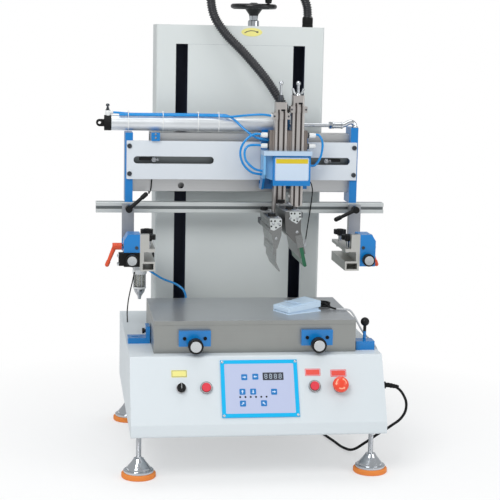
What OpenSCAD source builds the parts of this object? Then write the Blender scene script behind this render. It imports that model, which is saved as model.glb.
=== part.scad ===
// Tabletop pneumatic flat screen printer: a sheet-metal base cabinet with a sloped control
// face, a printing table, a slotted column and a lifting head that carries the squeegee
// carriage and the two screen-frame clamps.
// Origin: centre of the base footprint on the bench. +X to the operator's right, +Y to the
// back, +Z up.

/* [Base cabinet] */
// Width of the base cabinet
base_w = 620; // [610:5:640]
// Depth of the base cabinet
base_d = 650; // [640:5:680]
// Height of the cabinet's underside over the bench
base_clear = 115; // [100:5:130]
// Height of the cabinet, underside to top
base_h = 180; // [170:5:190]
// How far the sloped control face leans back
face_run = 82; // [76:1:88]
// Height of the upright lip under the control face
lip_h = 31; // [24:1:38]
// Thickness of the cabinet's sheet
sheet = 2.5; // [1.5:0.25:3]
// Bend radius of the cabinet's sheet
bend_r = 7; // [5:0.5:9]

/* [Levelling feet] */
// Distance of a foot's axis from the cabinet's side
foot_inset_x = 23; // [20:1:30]
// Distance of a foot's axis from the cabinet's front or rear
foot_inset_y = 70; // [60:2:90]
// Radius of a rubber foot pad
pad_r = 42; // [36:1:46]
// Height of a rubber foot pad
pad_h = 13; // [10:1:16]
// Radius of the threaded foot stud
stud_r = 6; // [5:0.5:7]

/* [Printing table] */
// Width of the table
table_w = 500; // [480:10:500]
// Depth of the table
table_d = 300; // [280:10:300]
// Height of the table's body over the cabinet
table_h = 79.5; // [75:0.5:82]
// Distance of the table's front from the cabinet's front
table_setback = 114; // [110:1:120]
// Thickness of the table's ground top plate
table_plate = 10; // [8:1:12]
// Thickness of the table's skirts
skirt = 5; // [4:0.5:6]
// Radius of the front adjusting knobs
table_knob_r = 18.5; // [16:0.5:20]
// Distance of each adjusting spindle from the middle
table_knob_x = 151; // [140:1:160]
// Pitch of the adjusting spindles
table_pitch = 1.5; // [1:0.25:2]

/* [Column] */
// Width of the column
col_w = 448; // [440:2:460]
// Depth of the column
col_d = 144; // [140:2:150]
// Height of the column over the cabinet
col_h = 795; // [780:5:820]
// Distance of the column's rear from the cabinet's rear
col_inset = 6; // [2:1:10]
// Thickness of the column's sheet
col_sheet = 3; // [2:0.5:3]
// Width of each lifting slot
slot_w = 31.5; // [30:0.5:34]
// Distance from the middle to the inner edge of a slot
slot_in = 141; // [138:1:146]
// Height of the slots' lower end over the cabinet
slot_low = 50; // [40:5:60]
// Distance from the column's top to the slots' upper end
slot_top_gap = 50; // [40:5:55]
// Depth of the folded edges beside a slot
slot_fold = 14; // [10:1:16]

/* [Lift] */
// Distance from the middle to each guide shaft
shaft_x = 110; // [105:1:115]
// Radius of the guide shafts
shaft_r = 12.5; // [10:0.5:14]
// Distance from the middle to the lead screw and handwheel
screw_x = 42; // [40:1:46]
// Radius of the lead screw
screw_r = 8; // [7:0.5:9]
// Lead of the stop screw per turn
screw_lead = 5; // [4:0.5:6]
// Radius to the middle of the handwheel's rim
wheel_r = 56; // [50:1:60]
// Radius of the handwheel's rim
rim_r = 6.5; // [5:0.5:8]
// Height of the head's middle over the cabinet
head_rise = 445; // [440:1:450]

/* [Head] */
// Width of the white front plate
plate_w = 609; // [600:1:620]
// Height of the front plate
plate_h = 100; // [94:1:106]
// Thickness of the front plate
plate_t = 6; // [5:0.5:7]
// Gap between the front plate's face and the column's face
plate_gap = 83; // [82:1:88]
// Depth of the beam
beam_d = 45; // [40:1:48]
// Height of the beam
beam_h = 156; // [150:1:160]
// Length of the clamp rail
rail_w = 766; // [750:2:780]
// Height of the clamp rail
rail_h = 28; // [26:1:30]
// Width of an end post
post_w = 20; // [18:1:22]

/* [Squeegee carriage] */
// Distance of the carriage's middle from the head's middle
carriage_x = 107; // [104:1:110]
// Width of the carriage's bracket
carriage_w = 124; // [120:1:130]
// Side of each square lift cylinder
cyl_s = 32; // [30:0.5:34]
// Distance between the two lift cylinders
cyl_pitch = 45; // [42:1:50]
// Radius of the stroke cylinder's barrel
barrel_r = 19.5; // [17:0.5:20]
// Length of the stroke cylinder's barrel
barrel_len = 466; // [450:2:480]
// Length of a lift cylinder's body
cyl_h = 262; // [250:1:266]
// Radius of the lift rods
rod_r = 5; // [4:0.5:6]

/* [Squeegees] */
// Length of the squeegee and flood holders
holder_len = 160; // [150:5:170]
// Width of the squeegee's head
holder_w = 40; // [36:1:42]
// Width of the flood bar's head
flood_w = 31; // [28:1:33]
// Thickness of the rubber blade
rubber_t = 9; // [7:0.5:10]
// Lean of the squeegee blade from upright
blade_lean = 13; // [9:1:17]
// Thickness of the flood blade
flood_t = 2.5; // [2:0.25:3.5]

/* [Screen clamps] */
// Distance from the middle to the inner edge of a frame channel
channel_in = 241; // [236:1:246]
// Width of a frame channel
channel_w = 36; // [32:1:40]
// Length of a frame channel
channel_len = 178; // [160:2:200]
// Height of the gap that takes the screen frame
frame_gap = 24; // [20:1:30]
// Height of the lower jaw
jaw_h = 24; // [20:1:30]
// Distance between the two clamp screws of a channel
star_pitch = 100; // [90:5:130]
// Radius of a star knob
star_r = 16.5; // [14:0.5:17.5]

/* [Controls] */
// Radius of a push button's bezel
bezel_r = 14.75; // [13:0.25:16]
// Radius of a push button's cap
cap_r = 10.8; // [10:0.1:12]
// Radius of the emergency stop's mushroom
mushroom_r = 19.5; // [18:0.5:22]
// Width of the keypad panel
panel_w = 188; // [180:1:196]
// Height of the keypad panel along the sloped face
panel_h = 142; // [134:1:146]
// Thickness of the keypad panel
panel_t = 3; // [2:0.5:4]

/* [Fits] */
// Radial running clearance of shafts, rods and spindles
run_fit = 0.06; // [0.04:0.01:0.09]
// Gap between pieces that slide past each other
slide_gap = 0.3; // [0.25:0.05:0.5]

/* [Hidden] */
$fn = 48;
eps = 0.01;

// Heights and depths that the pieces share
base_top = base_clear + base_h;
base_front = -base_d / 2;
base_rear = base_d / 2;
table_front = base_front + table_setback;
table_rear = table_front + table_d;
table_gap = 0.5;
table_top = base_top + table_gap + table_h;
col_rear = base_rear - col_inset;
col_front = col_rear - col_d;
col_top = base_top + col_h;
slot_out = slot_in + slot_w;
slot_z0 = base_top + slot_low;
slot_z1 = col_top - slot_top_gap;
shaft_y = col_front + 75;
screw_y = col_front + 72;
head_z = base_top + head_rise;
plate_front = col_front - plate_gap;
plate_back = plate_front + plate_t;
beam_front = plate_back + 22;
beam_back = beam_front + beam_d;
post_out = plate_w / 2 + 3.5;
beam_w = 2 * (post_out - post_w);
beam_z0 = head_z - 85;
beam_z1 = beam_z0 + beam_h;

// Outline helpers
function unit(v) = v / norm(v);
function arc_corner(a, b, c, r, n) =
    let(u = unit(a - b), w = unit(c - b), half = acos(u * w) / 2,
        d = r / tan(half), mid = b + unit(u + w) * (r / sin(half)),
        s = b + u * d - mid, e = b + w * d - mid,
        a0 = atan2(s[1], s[0]), turn = (atan2(e[1], e[0]) - a0 + 540) % 360 - 180)
    [for (i = [0 : n]) mid + r * [cos(a0 + turn * i / n), sin(a0 + turn * i / n)]];
function rounded(p, r, n = 5) =
    [for (i = [0 : len(p) - 1])
        each arc_corner(p[(i + len(p) - 1) % len(p)], p[i], p[(i + 1) % len(p)], r, n)];
function inset(p, t) =
    [for (i = [0 : len(p) - 1])
        let(a = p[(i + len(p) - 1) % len(p)], b = p[i], c = p[(i + 1) % len(p)],
            u = unit(b - a), w = unit(c - b), n1 = [-u[1], u[0]], n2 = [-w[1], w[0]])
        b + t * (n1 + n2) / (1 + n1 * n2)];
function rect(x0, y0, x1, y1) = [[x0, y0], [x1, y0], [x1, y1], [x0, y1]];

// Tube helpers: a smooth path through the route's points and a ring at each of its points
function spline(p, n) =
    [for (i = [0 : len(p) - 2]) for (k = [0 : n - 1])
        let(t = k / n, a = p[max(i - 1, 0)], b = p[i], c = p[i + 1],
            d = p[min(i + 2, len(p) - 1)])
        0.5 * (2 * b + (c - a) * t + (2 * a - 5 * b + 4 * c - d) * t * t
            + (3 * b - a - 3 * c + d) * t * t * t),
     p[len(p) - 1]];
function headings(p) =
    [for (i = [0 : len(p) - 1]) unit(p[min(i + 1, len(p) - 1)] - p[max(i - 1, 0)])];
function across(d) = unit(abs(d[2]) < 0.9 ? cross(d, [0, 0, 1]) : cross(d, [1, 0, 0]));
function carried(d, i = 0, acc = []) =
    i == len(d) ? acc
    : carried(d, i + 1, concat(acc, [i == 0 ? across(d[0])
        : unit(acc[i - 1] - (acc[i - 1] * d[i]) * d[i])]));

module tube(path, r, sides = 8) {
    d = headings(path);
    u = carried(d);
    n = len(path);
    pts = [for (i = [0 : n - 1]) let(v = cross(d[i], u[i])) for (k = [0 : sides - 1])
        path[i] + r * (cos(360 * k / sides) * u[i] + sin(360 * k / sides) * v)];
    walls = [for (i = [0 : n - 2]) for (k = [0 : sides - 1])
        let(a = i * sides + k, b = i * sides + (k + 1) % sides)
        each [[a, a + sides, b], [b, a + sides, b + sides]]];
    ends = [[for (k = [0 : sides - 1]) k],
        [for (k = [sides - 1 : -1 : 0]) (n - 1) * sides + k]];
    polyhedron(pts, concat(walls, ends));
}

// Extrudes a YZ outline along X, centred
module along_x(length) {
    translate([-length / 2, 0, 0]) rotate([90, 0, 90]) linear_extrude(length) children();
}

// Extrudes an XZ outline along +Y from the given y
module along_y(y0, length) {
    translate([0, y0 + length, 0]) rotate([90, 0, 0]) linear_extrude(length) children();
}

module block(x0, x1, y0, y1, z0, z1) {
    translate([x0, y0, z0]) cube([x1 - x0, y1 - y0, z1 - z0]);
}

module rod_x(x0, x1, y, z, r) {
    translate([x0, y, z]) rotate([0, 90, 0]) cylinder(h = x1 - x0, r = r);
}

module rod_y(x, y0, y1, z, r) {
    translate([x, y0, z]) rotate([-90, 0, 0]) cylinder(h = y1 - y0, r = r);
}

module rod_z(x, y, z0, z1, r) {
    translate([x, y, z0]) cylinder(h = z1 - z0, r = r);
}

// Places children on the sloped control face: local Z points out of the face
face_tilt = atan2(base_h - lip_h, face_run);
face_step = [cos(face_tilt), sin(face_tilt)];
module on_face(x, s) {
    translate([x, base_front + face_run - s * face_step[0], base_top - s * face_step[1]])
        rotate([face_tilt, 0, 0]) children();
}

// Base cabinet
base_outline = [[base_front, base_clear], [base_rear, base_clear], [base_rear, base_top],
    [base_front + face_run, base_top], [base_front, base_clear + lip_h]];
button_s = 80;
start_x = -128;
stop_x = 136;
estop_x = 198;
selector_x = -188;
barrel_hole = 11.2;
socket_y = base_front + 172;
socket_z = 193;
pedal_socket_y = base_front + 140;
pedal_socket_z = 188;
foot_x = base_w / 2 - foot_inset_x;
foot_y = base_d / 2 - foot_inset_y;

module base_cabinet() {
    color([0.85, 0.88, 0.91]) difference() {
        along_x(base_w) polygon(rounded(base_outline, bend_r));
        along_x(base_w - 2 * sheet)
            polygon(rounded(inset(base_outline, sheet), bend_r - sheet));
        for (x = [-1, 1]) for (y = [-1, 1])
            translate([x * foot_x, y * foot_y, base_clear - 1])
                cylinder(h = sheet + 2, r = stud_r + 0.5);
        for (x = [selector_x, start_x, stop_x, estop_x])
            on_face(x, button_s) translate([0, 0, -10]) cylinder(h = 20, r = barrel_hole);
        // Vent slots in the rear wall
        for (i = [0 : 11]) for (x = [-170, 170])
            block(x - 45, x + 45, base_rear - 2 * sheet, base_rear + 1,
                base_clear + 40 + 8 * i, base_clear + 43.5 + 8 * i);
        // Air line gland in the top, behind the table
        rod_z(tube_drop_x, tube_drop_y, base_top - 10, base_top + 1, 6);
    }
}

cup_r = pad_r - 5;
cup_top = pad_h + 34;

module foot_studs() {
    color([0.78, 0.79, 0.8]) for (x = [-1, 1]) for (y = [-1, 1])
        translate([x * foot_x, y * foot_y, 0]) {
            rotate_extrude() polygon([[0, pad_h], [cup_r, pad_h], [cup_r, pad_h + 5],
                [cup_r - 3, pad_h + 7], [cup_r - 7, pad_h + 7], [cup_r - 8, pad_h + 11],
                [17, cup_top - 8], [12, cup_top], [0, cup_top]]);
            rod_z(0, 0, cup_top - 1, base_clear + 26, stud_r);
            translate([0, 0, base_clear - 10]) cylinder(h = 10, r = 11, $fn = 6);
            translate([0, 0, base_clear + sheet]) cylinder(h = 10, r = 11, $fn = 6);
        }
}

module foot_pads() {
    color([0.92, 0.52, 0.22]) for (x = [-1, 1]) for (y = [-1, 1])
        translate([x * foot_x, y * foot_y, 0]) rotate_extrude()
            polygon([[0, 0], [pad_r - 2, 0], [pad_r, 2], [pad_r, pad_h - 3],
                [pad_r - 3, pad_h], [0, pad_h]]);
}

// Column
col_outline = rect(-col_w / 2, col_front, col_w / 2, col_rear);
hose_x = 190;
collar_r = 12;

module column_shell() {
    color([0.81, 0.83, 0.83]) {
        difference() {
            translate([0, 0, base_top]) linear_extrude(col_h) polygon(rounded(col_outline, 6));
            translate([0, 0, base_top - 1]) linear_extrude(col_h - col_sheet + 1)
                polygon(rounded(inset(col_outline, col_sheet), 3));
            block(-slot_out, slot_out, col_front - 1, col_front + col_sheet + 1,
                slot_z0, slot_z1);
            rod_z(screw_x, screw_y, col_top - 10, col_top + 1, screw_r + run_fit);
            rod_z(hose_x, screw_y, col_top - 10, col_top + 1, collar_r);
        }
        for (x = [-slot_out - 2, slot_out])
            block(x, x + 2, col_front + col_sheet - eps, col_front + slot_fold,
                slot_z0, slot_z1);
        // Bottom flange that bolts down to the cabinet
        difference() {
            translate([0, 0, base_top]) linear_extrude(col_sheet)
                polygon(rounded(inset(col_outline, 1), 3));
            translate([0, 0, base_top - 1]) linear_extrude(col_sheet + 2)
                polygon(rounded(inset(col_outline, 22), 3));
        }
    }
}

cover_tab = 14;
module column_front_cover() {
    color([0.83, 0.85, 0.85]) {
        block(-slot_in, slot_in, col_front, col_front + col_sheet, slot_z0 + slide_gap,
            slot_z1 - slide_gap);
        for (x = [-slot_in, slot_in - 2])
            block(x, x + 2, col_front, col_front + slot_fold, slot_z0 + slide_gap,
                slot_z1 - slide_gap);
        for (z = [slot_z0 - cover_tab, slot_z1 - cover_tab])
            block(2 - slot_in, slot_in - 2, col_front + col_sheet,
                col_front + 2 * col_sheet, z, z + 2 * cover_tab);
    }
}

// Lift: guide shafts, lift cylinder, lead screw with its stop nut, and the head's block
ram_x = -40;
ram_r = 24;
ram_rod_r = 8;
block_h = 80;
block_z0 = head_z - block_h;
ram_z0 = head_z + 90;
ram_z1 = ram_z0 + 180;
shaft_top = col_top - col_sheet;

module lift_guides() {
    color([0.72, 0.73, 0.75]) {
        for (x = [-shaft_x, shaft_x]) {
            rod_z(x, shaft_y, base_top, shaft_top, shaft_r);
            rod_z(x, shaft_y, base_top, base_top + 16, shaft_r + 12);
            rod_z(x, shaft_y, shaft_top - 14, shaft_top, shaft_r + 10);
        }
        difference() {
            rod_z(ram_x, shaft_y, ram_z0, ram_z1, ram_r);
            rod_z(ram_x, shaft_y, ram_z0 + 14, ram_z1 - 12, ram_r - 5);
            rod_z(ram_x, shaft_y, ram_z0 - 1, ram_z0 + 15, ram_rod_r + run_fit);
        }
        rod_z(ram_x, shaft_y, ram_z1 - eps, shaft_top, 10);
        rod_z(ram_x, shaft_y, shaft_top - 8, shaft_top, 22);
    }
}

nut_z0 = head_z - 210;
nut_h = 24;
module stop_nut() {
    color([0.7, 0.6, 0.35]) difference() {
        union() {
            block(screw_x, shaft_x, shaft_y - 22, shaft_y + 14, nut_z0, nut_z0 + nut_h);
            rod_z(screw_x, screw_y, nut_z0, nut_z0 + nut_h, 20);
            rod_z(shaft_x, shaft_y, nut_z0, nut_z0 + nut_h, shaft_r + 8);
        }
        rod_z(screw_x, screw_y, nut_z0 - 1, nut_z0 + nut_h + 1, screw_r + run_fit);
        rod_z(shaft_x, shaft_y, nut_z0 - 1, nut_z0 + nut_h + 1, shaft_r + run_fit);
    }
}

wheel_z = col_top + 53;
grip_angle = -54;
grip_pin_r = 4;
grip_z0 = wheel_z + 8;
grip_h = 58;
module handwheel() {
    color([0.75, 0.76, 0.78]) translate([screw_x, screw_y, 0]) {
        rod_z(0, 0, nut_z0 - 120, col_top + 4, screw_r);
        rotate_extrude() polygon([[0, col_top], [15, col_top], [15, col_top + 14],
            [11, col_top + 17], [14, wheel_z - 10], [20, wheel_z + 4], [8, wheel_z + 10],
            [0, wheel_z + 10]]);
        translate([0, 0, wheel_z]) rotate_extrude() translate([wheel_r, 0])
            circle(r = rim_r, $fn = 24);
        for (a = [0 : 120 : 240]) rotate([0, 0, a + grip_angle])
            translate([14, 0, wheel_z - 3]) rotate([0, 90, 0])
                cylinder(h = wheel_r - 14, r = 5);
        rotate([0, 0, grip_angle]) {
            rod_z(wheel_r, 0, wheel_z, grip_z0 + grip_h + 1, grip_pin_r);
            rod_z(wheel_r, 0, grip_z0 + grip_h + slide_gap, grip_z0 + grip_h + 4,
                grip_pin_r + 3);
        }
    }
}

module crank_grip() {
    color([0.1, 0.1, 0.11]) translate([screw_x, screw_y, 0]) rotate([0, 0, grip_angle])
        translate([wheel_r, 0, grip_z0]) difference() {
            rotate_extrude() polygon([[0, 0], [8, 0], [9.5, 8], [11.5, 36], [11, 50],
                [8.5, grip_h], [0, grip_h]]);
            translate([0, 0, -1]) cylinder(h = grip_h + 2, r = grip_pin_r + run_fit);
        }
}

arm_w = 26;
arm_x = slot_in + slot_w / 2;
module head_block() {
    color([0.45, 0.47, 0.5]) {
        difference() {
            block(-arm_x - arm_w, arm_x + arm_w, shaft_y - 28, shaft_y + 28,
                block_z0, head_z);
            for (x = [-shaft_x, shaft_x])
                rod_z(x, shaft_y, block_z0 - 1, head_z + 1, shaft_r + run_fit);
            rod_z(screw_x, screw_y, block_z0 - 1, head_z + 1, screw_r + 6);
            // Lightening pockets in the rear face
            for (x = [-72, 0, 78])
                block(x - 14, x + 14, shaft_y + 16, shaft_y + 29, block_z0 + 12,
                    head_z - 12);
        }
        for (x = [-arm_x, arm_x]) difference() {
            translate([x, 0, 0]) along_x(arm_w) polygon(rounded([
                [beam_back, head_z - 66], [shaft_y - 48, head_z - 80],
                [shaft_y - 27, head_z - 80], [shaft_y - 27, head_z],
                [shaft_y - 45, head_z + 58], [beam_back, head_z + 62]], 4));
            rod_x(x - arm_w, x + arm_w, beam_back + 22, head_z - 20, 11);
            rod_x(x - arm_w, x + arm_w, beam_back + 18, head_z + 26, 8);
        }
        rod_z(ram_x, shaft_y, head_z - 10, ram_z0 + 100, ram_rod_r);
        rod_z(ram_x, shaft_y, ram_z0 + 84, ram_z0 + 100, ram_r - 5.3);
        rod_z(ram_x, shaft_y, head_z - eps, head_z + 10, 14);
    }
}

// Head: beam, front plate, posts, rail and linear guides
beam_wall = 6;
stop_block_x = [63.5 - plate_w / 2, 85.5 - plate_w / 2];
module head_beam() {
    color([0.62, 0.64, 0.66]) difference() {
        along_x(beam_w) polygon(rounded(rect(beam_front, beam_z0, beam_back, beam_z1), 2));
        for (i = [0 : 1]) let(h = (beam_h - 3 * beam_wall) / 2,
                z = beam_z0 + beam_wall + i * (h + beam_wall))
            along_x(beam_w + 2) polygon(rounded(rect(beam_front + beam_wall, z,
                beam_back - beam_wall, z + h), 3));
        rod_y(-160, beam_front - 1, beam_front + beam_wall + 1, head_z - 69, 8);
        // Upper left corner cut away between the post and the stop block
        block(-beam_w / 2 - 1, stop_block_x[0] - 2, beam_front - 1, beam_back + 1,
            head_z + plate_h / 2 - 6, beam_z1 + 1);
    }
}

plate_slot_h = 19;
slot_out_x = plate_w / 2 - 27.5;
slot_in_x = 86;
module plate_slot(x0, x1) {
    block(x0, x1, plate_front - 1, plate_back + 1, head_z - plate_slot_h / 2,
        head_z + plate_slot_h / 2);
    for (x = [x0, x1])
        rod_y(x, plate_front - 1, plate_back + 1, head_z, plate_slot_h / 2);
}
module front_plate() {
    color([0.86, 0.89, 0.92]) difference() {
        along_y(plate_front, plate_t) polygon(rounded(rect(-plate_w / 2,
            head_z - plate_h / 2, plate_w / 2, head_z + plate_h / 2), 2));
        for (s = [-1, 1]) plate_slot(s < 0 ? -slot_out_x : slot_in_x,
            s < 0 ? -slot_in_x : slot_out_x);
        for (x = [-1, 1]) for (z = [-1, 1])
            rod_y(x * (plate_w / 2 - 7), plate_front - 1, plate_back + 1,
                head_z + z * (plate_h / 2 - 14), 3.3);
    }
}

post_z0 = head_z - 111;
post_tops = [head_z + 70, head_z + 89];
barrel_y = beam_front - 5;
barrel_z = head_z + 94;
module end_posts() {
    color([0.04, 0.46, 0.77]) {
        for (i = [0, 1]) mirror([1 - i, 0, 0])
            block(post_out - post_w, post_out, plate_back, beam_back, post_z0,
                post_tops[i]);
        // Adjustable stop block over the left slot
        block(stop_block_x[0], stop_block_x[1], plate_back, beam_front,
            head_z + plate_h / 2 + 1, head_z + 71);
        block(stop_block_x[0], stop_block_x[1], plate_front - 8, plate_back,
            head_z + plate_h / 2, head_z + 71);
    }
}

rail_z1 = post_z0;
rail_z0 = rail_z1 - rail_h;
rail_front = plate_back - 1;
rail_d = 30;
groove = 8;
module rail_profile() {
    yc = rail_front + rail_d / 2;
    zc = (rail_z0 + rail_z1) / 2;
    difference() {
        polygon(rounded(rect(rail_front, rail_z0, rail_front + rail_d, rail_z1), 1.5, 3));
        translate([yc, zc]) circle(r = 3.4);
        for (s = [-1, 1]) {
            translate([yc + s * rail_d / 2, zc]) square([5, groove], center = true);
            translate([yc + s * (rail_d / 2 - 4.5), zc]) square([5, 15], center = true);
        }
        for (s = [-1, 1]) {
            translate([yc, zc + s * rail_h / 2]) square([groove, 5], center = true);
            translate([yc, zc + s * (rail_h / 2 - 4)]) square([13, 4], center = true);
        }
    }
}
module clamp_rail() {
    color([0.7, 0.72, 0.74]) along_x(rail_w) rail_profile();
}

guide_s = 15;
guide_t = 10;
guide_l = beam_w - 40;
guide_zs = [head_z - 38, head_z + 38];
module linear_guides() {
    color([0.76, 0.77, 0.79]) for (z = guide_zs) difference() {
        block(-guide_l / 2, guide_l / 2, beam_front - guide_t, beam_front,
            z - guide_s / 2, z + guide_s / 2);
        for (s = [-1, 1]) translate([0, beam_front - guide_t / 2, z + s * guide_s / 2])
            rotate([45, 0, 0]) cube([guide_l + 2, 3, 3], center = true);
    }
}

// Squeegee carriage
cx0 = carriage_x - carriage_w / 2;
cx1 = carriage_x + carriage_w / 2;
mount_face = plate_front - 16;
bracket_t = 8;
flood_x = carriage_x - 15;
squeegee_x = flood_x + cyl_pitch;
cyl_y = mount_face - cyl_s / 2;
fitting_y = cyl_y - 10;
shelf_front = mount_face - 58;
shelf_z0 = head_z + 20;
shelf_z1 = shelf_z0 + 11;
web_z = [head_z - 72, head_z + 56];

module slider(x) {
    for (z = guide_zs) difference() {
        block(x - 20, x + 20, plate_back + 5 - eps, beam_front - 0.5, z - 16, z + 16);
        block(x - 21, x + 21, beam_front - guide_t - slide_gap, beam_front + 1,
            z - guide_s / 2 - slide_gap, z + guide_s / 2 + slide_gap);
    }
}

module carriage_bracket() {
    color([0.05, 0.42, 0.74]) {
        difference() {
            union() {
                block(cx0, cx1, plate_back + 1.6, plate_back + 5, web_z[0], web_z[1] + 12);
                for (z = web_z) block(cx0, cx1, mount_face, plate_back + 5, z, z + 12);
                block(cx0, cx1, mount_face, mount_face + bracket_t, web_z[0],
                    web_z[1] + 12);
                block(cx0, cx1 + 2, shelf_front, mount_face + eps, shelf_z0, shelf_z1);
            }
            for (x = [flood_x, squeegee_x])
                block(x - cyl_s / 2 - 0.2, x + cyl_s / 2 + 0.2,
                    cyl_y - cyl_s / 2 - 0.2, mount_face - eps, shelf_z0 - 1,
                    shelf_z1 + 1);
        }
        for (x = [cx0 + 22, cx1 - 22]) slider(x);
        // Side cheek with its sloped gusset
        translate([cx0 + 3, 0, 0]) along_x(6) polygon(rounded([
            [mount_face + 1, web_z[0]], [mount_face + 1, shelf_z0 + 1],
            [shelf_front + 6, shelf_z0 + 1], [shelf_front + 6, head_z - 30],
            [mount_face - 16, web_z[0]]], 3));
        // Saddle that carries the stroke cylinder, and the hose gland's post
        difference() {
            block(cx0 + 4, cx1 - 4, plate_back + 2, beam_front + 10, web_z[1] + 12 - eps,
                barrel_z - 8);
            rod_x(cx0, cx1, barrel_y, barrel_z, barrel_r + 0.05);
            block(cx0, cx1, plate_back + 5, beam_front + 11, web_z[1] + 10, beam_z1 + 1);
        }
        block(gland_x - 13, gland_x + 13, mount_face + 1, mount_face + 18, web_z[1] + 11,
            gland_z - 3);
        block(gland_x - 19, gland_x + 19, mount_face + 1, gland_y + 17, gland_z - 4,
            gland_z);
    }
}

cover_x = [cx0 + 26, cx0 + 124];
cover_z = [head_z - 59, head_z + 19];
cover_front = mount_face - 48;
module carriage_cover() {
    color([0.05, 0.45, 0.77]) {
        difference() {
            block(cover_x[0], cover_x[1], cover_front, mount_face, cover_z[0], cover_z[1]);
            block(cover_x[0] + 2, cover_x[1] - 2, cover_front + 2, mount_face + 1,
                cover_z[0] - 1, cover_z[1] + 1);
            block(cover_x[0] - 1, cover_x[1] + 1, cover_front + 24, mount_face - 12,
                cover_z[0] - 1, cover_z[0] + 20);
        }
    }
}

cap_h = 25;
cyl_tops = [head_z + 131, head_z + 149];
module cylinder_outline() {
    h = cyl_s / 2;
    difference() {
        polygon(rounded(rect(-h, -h, h, h), 2.5, 3));
        for (a = [0 : 90 : 270]) rotate(a) for (y = [-7, 7])
            translate([h, y]) square([7, 4.5], center = true);
    }
}
module lift_cylinder(x, top) {
    z0 = top - cyl_h;
    difference() {
        union() {
            translate([x, cyl_y, z0]) linear_extrude(cyl_h) cylinder_outline();
            translate([x, cyl_y, top]) linear_extrude(cap_h)
                polygon(rounded(rect(1 - cyl_s / 2, 1 - cyl_s / 2, cyl_s / 2 - 1,
                    cyl_s / 2 - 1), 4));
            block(x - 22, x + 22, cyl_y - cyl_s / 2 - 3, cyl_y + cyl_s / 2, top - 19,
                top - 3);
            rod_z(x, cyl_y, z0 - 4, z0 + 1, 11);
        }
        rod_z(x, cyl_y, z0 - 5, top + cap_h + 1, rod_r + run_fit);
    }
}
valve_h = 52;
valve_x = [[cx0 + 17, flood_x - cyl_s / 2 - 0.5], [flood_x + cyl_s / 2 + 0.5,
    squeegee_x - cyl_s / 2 - 0.5], [squeegee_x + cyl_s / 2 + 0.5, cx0 + 117]];
module lift_cylinders() {
    color([0.72, 0.74, 0.76]) {
        lift_cylinder(flood_x, cyl_tops[0]);
        lift_cylinder(squeegee_x, cyl_tops[1]);
        // Valve columns on the shelf beside the cylinders, with their fittings
        for (v = valve_x) difference() {
            block(v[0], v[1], cyl_y - cyl_s / 2 + 2, mount_face, shelf_z1,
                shelf_z1 + valve_h);
            translate([(v[0] + v[1]) / 2, cyl_y - cyl_s / 2 + 2, shelf_z1 - 1])
                cylinder(h = valve_h + 2, r = 1.6);
        }
        for (z = [shelf_z1 + 12, shelf_z1 + 40]) {
            rod_x(cx0 + 5, cx0 + 17, fitting_y, z, 6);
            rod_x(cx0 + 117, cx0 + 129, fitting_y, z, 6);
        }
    }
}

barrel_x0 = cx0 + 77 - barrel_len;
barrel_x1 = barrel_x0 + barrel_len;
clevis_x = barrel_x0 - 30;
module stroke_cylinder() {
    color([0.78, 0.79, 0.81]) {
        difference() {
            union() {
                rod_x(barrel_x0, barrel_x1, barrel_y, barrel_z, barrel_r);
                rod_x(barrel_x0 - 18, barrel_x0, barrel_y, barrel_z, barrel_r + 0.5);
            }
            rod_x(barrel_x0 + 12, barrel_x1 - 14, barrel_y, barrel_z, barrel_r - 3);
            rod_x(barrel_x1 - 15, barrel_x1 + 1, barrel_y, barrel_z, rod_r + run_fit);
        }
        // Rear clevis
        difference() {
            union() {
                block(clevis_x, barrel_x0 - 17, barrel_y - 11, barrel_y + 11,
                    barrel_z - 9, barrel_z + 9);
                rod_y(clevis_x, barrel_y - 11, barrel_y + 11, barrel_z, 9);
            }
            block(clevis_x - 10, barrel_x0 - 23, barrel_y - 5, barrel_y + 5,
                barrel_z - 10, barrel_z + 10);
            rod_y(clevis_x, barrel_y - 12, barrel_y + 12, barrel_z, 4);
        }
        rod_z(barrel_x0 - 9, barrel_y, barrel_z + barrel_r - 2, barrel_z + 34, 6);
    }
}

piston_x = barrel_x0 + 194;
sleeve_x = post_out - 68;
post_x = post_out - 7;
elbow = [[sleeve_x + 25, barrel_y, barrel_z], [post_x - 27, barrel_y, barrel_z + 2],
    [post_x - 16, barrel_y, barrel_z + 8], [post_x - 7, barrel_y, barrel_z + 8.5],
    [post_x - 1, barrel_y, barrel_z + 3], [post_x, barrel_y, post_tops[1] + 3],
    [post_x, barrel_y, post_tops[1] + 0.2]];
module stroke_rod() {
    color([0.8, 0.81, 0.83]) {
        rod_x(piston_x, sleeve_x + 10, barrel_y, barrel_z, rod_r);
        rod_x(piston_x - 12, piston_x, barrel_y, barrel_z, barrel_r - 3.3);
        rod_x(sleeve_x, sleeve_x + 28, barrel_y, barrel_z, 8);
        // Elbow that bends over onto the right post
        tube(spline(elbow, 3), 6.5, 12);
    }
}

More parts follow.
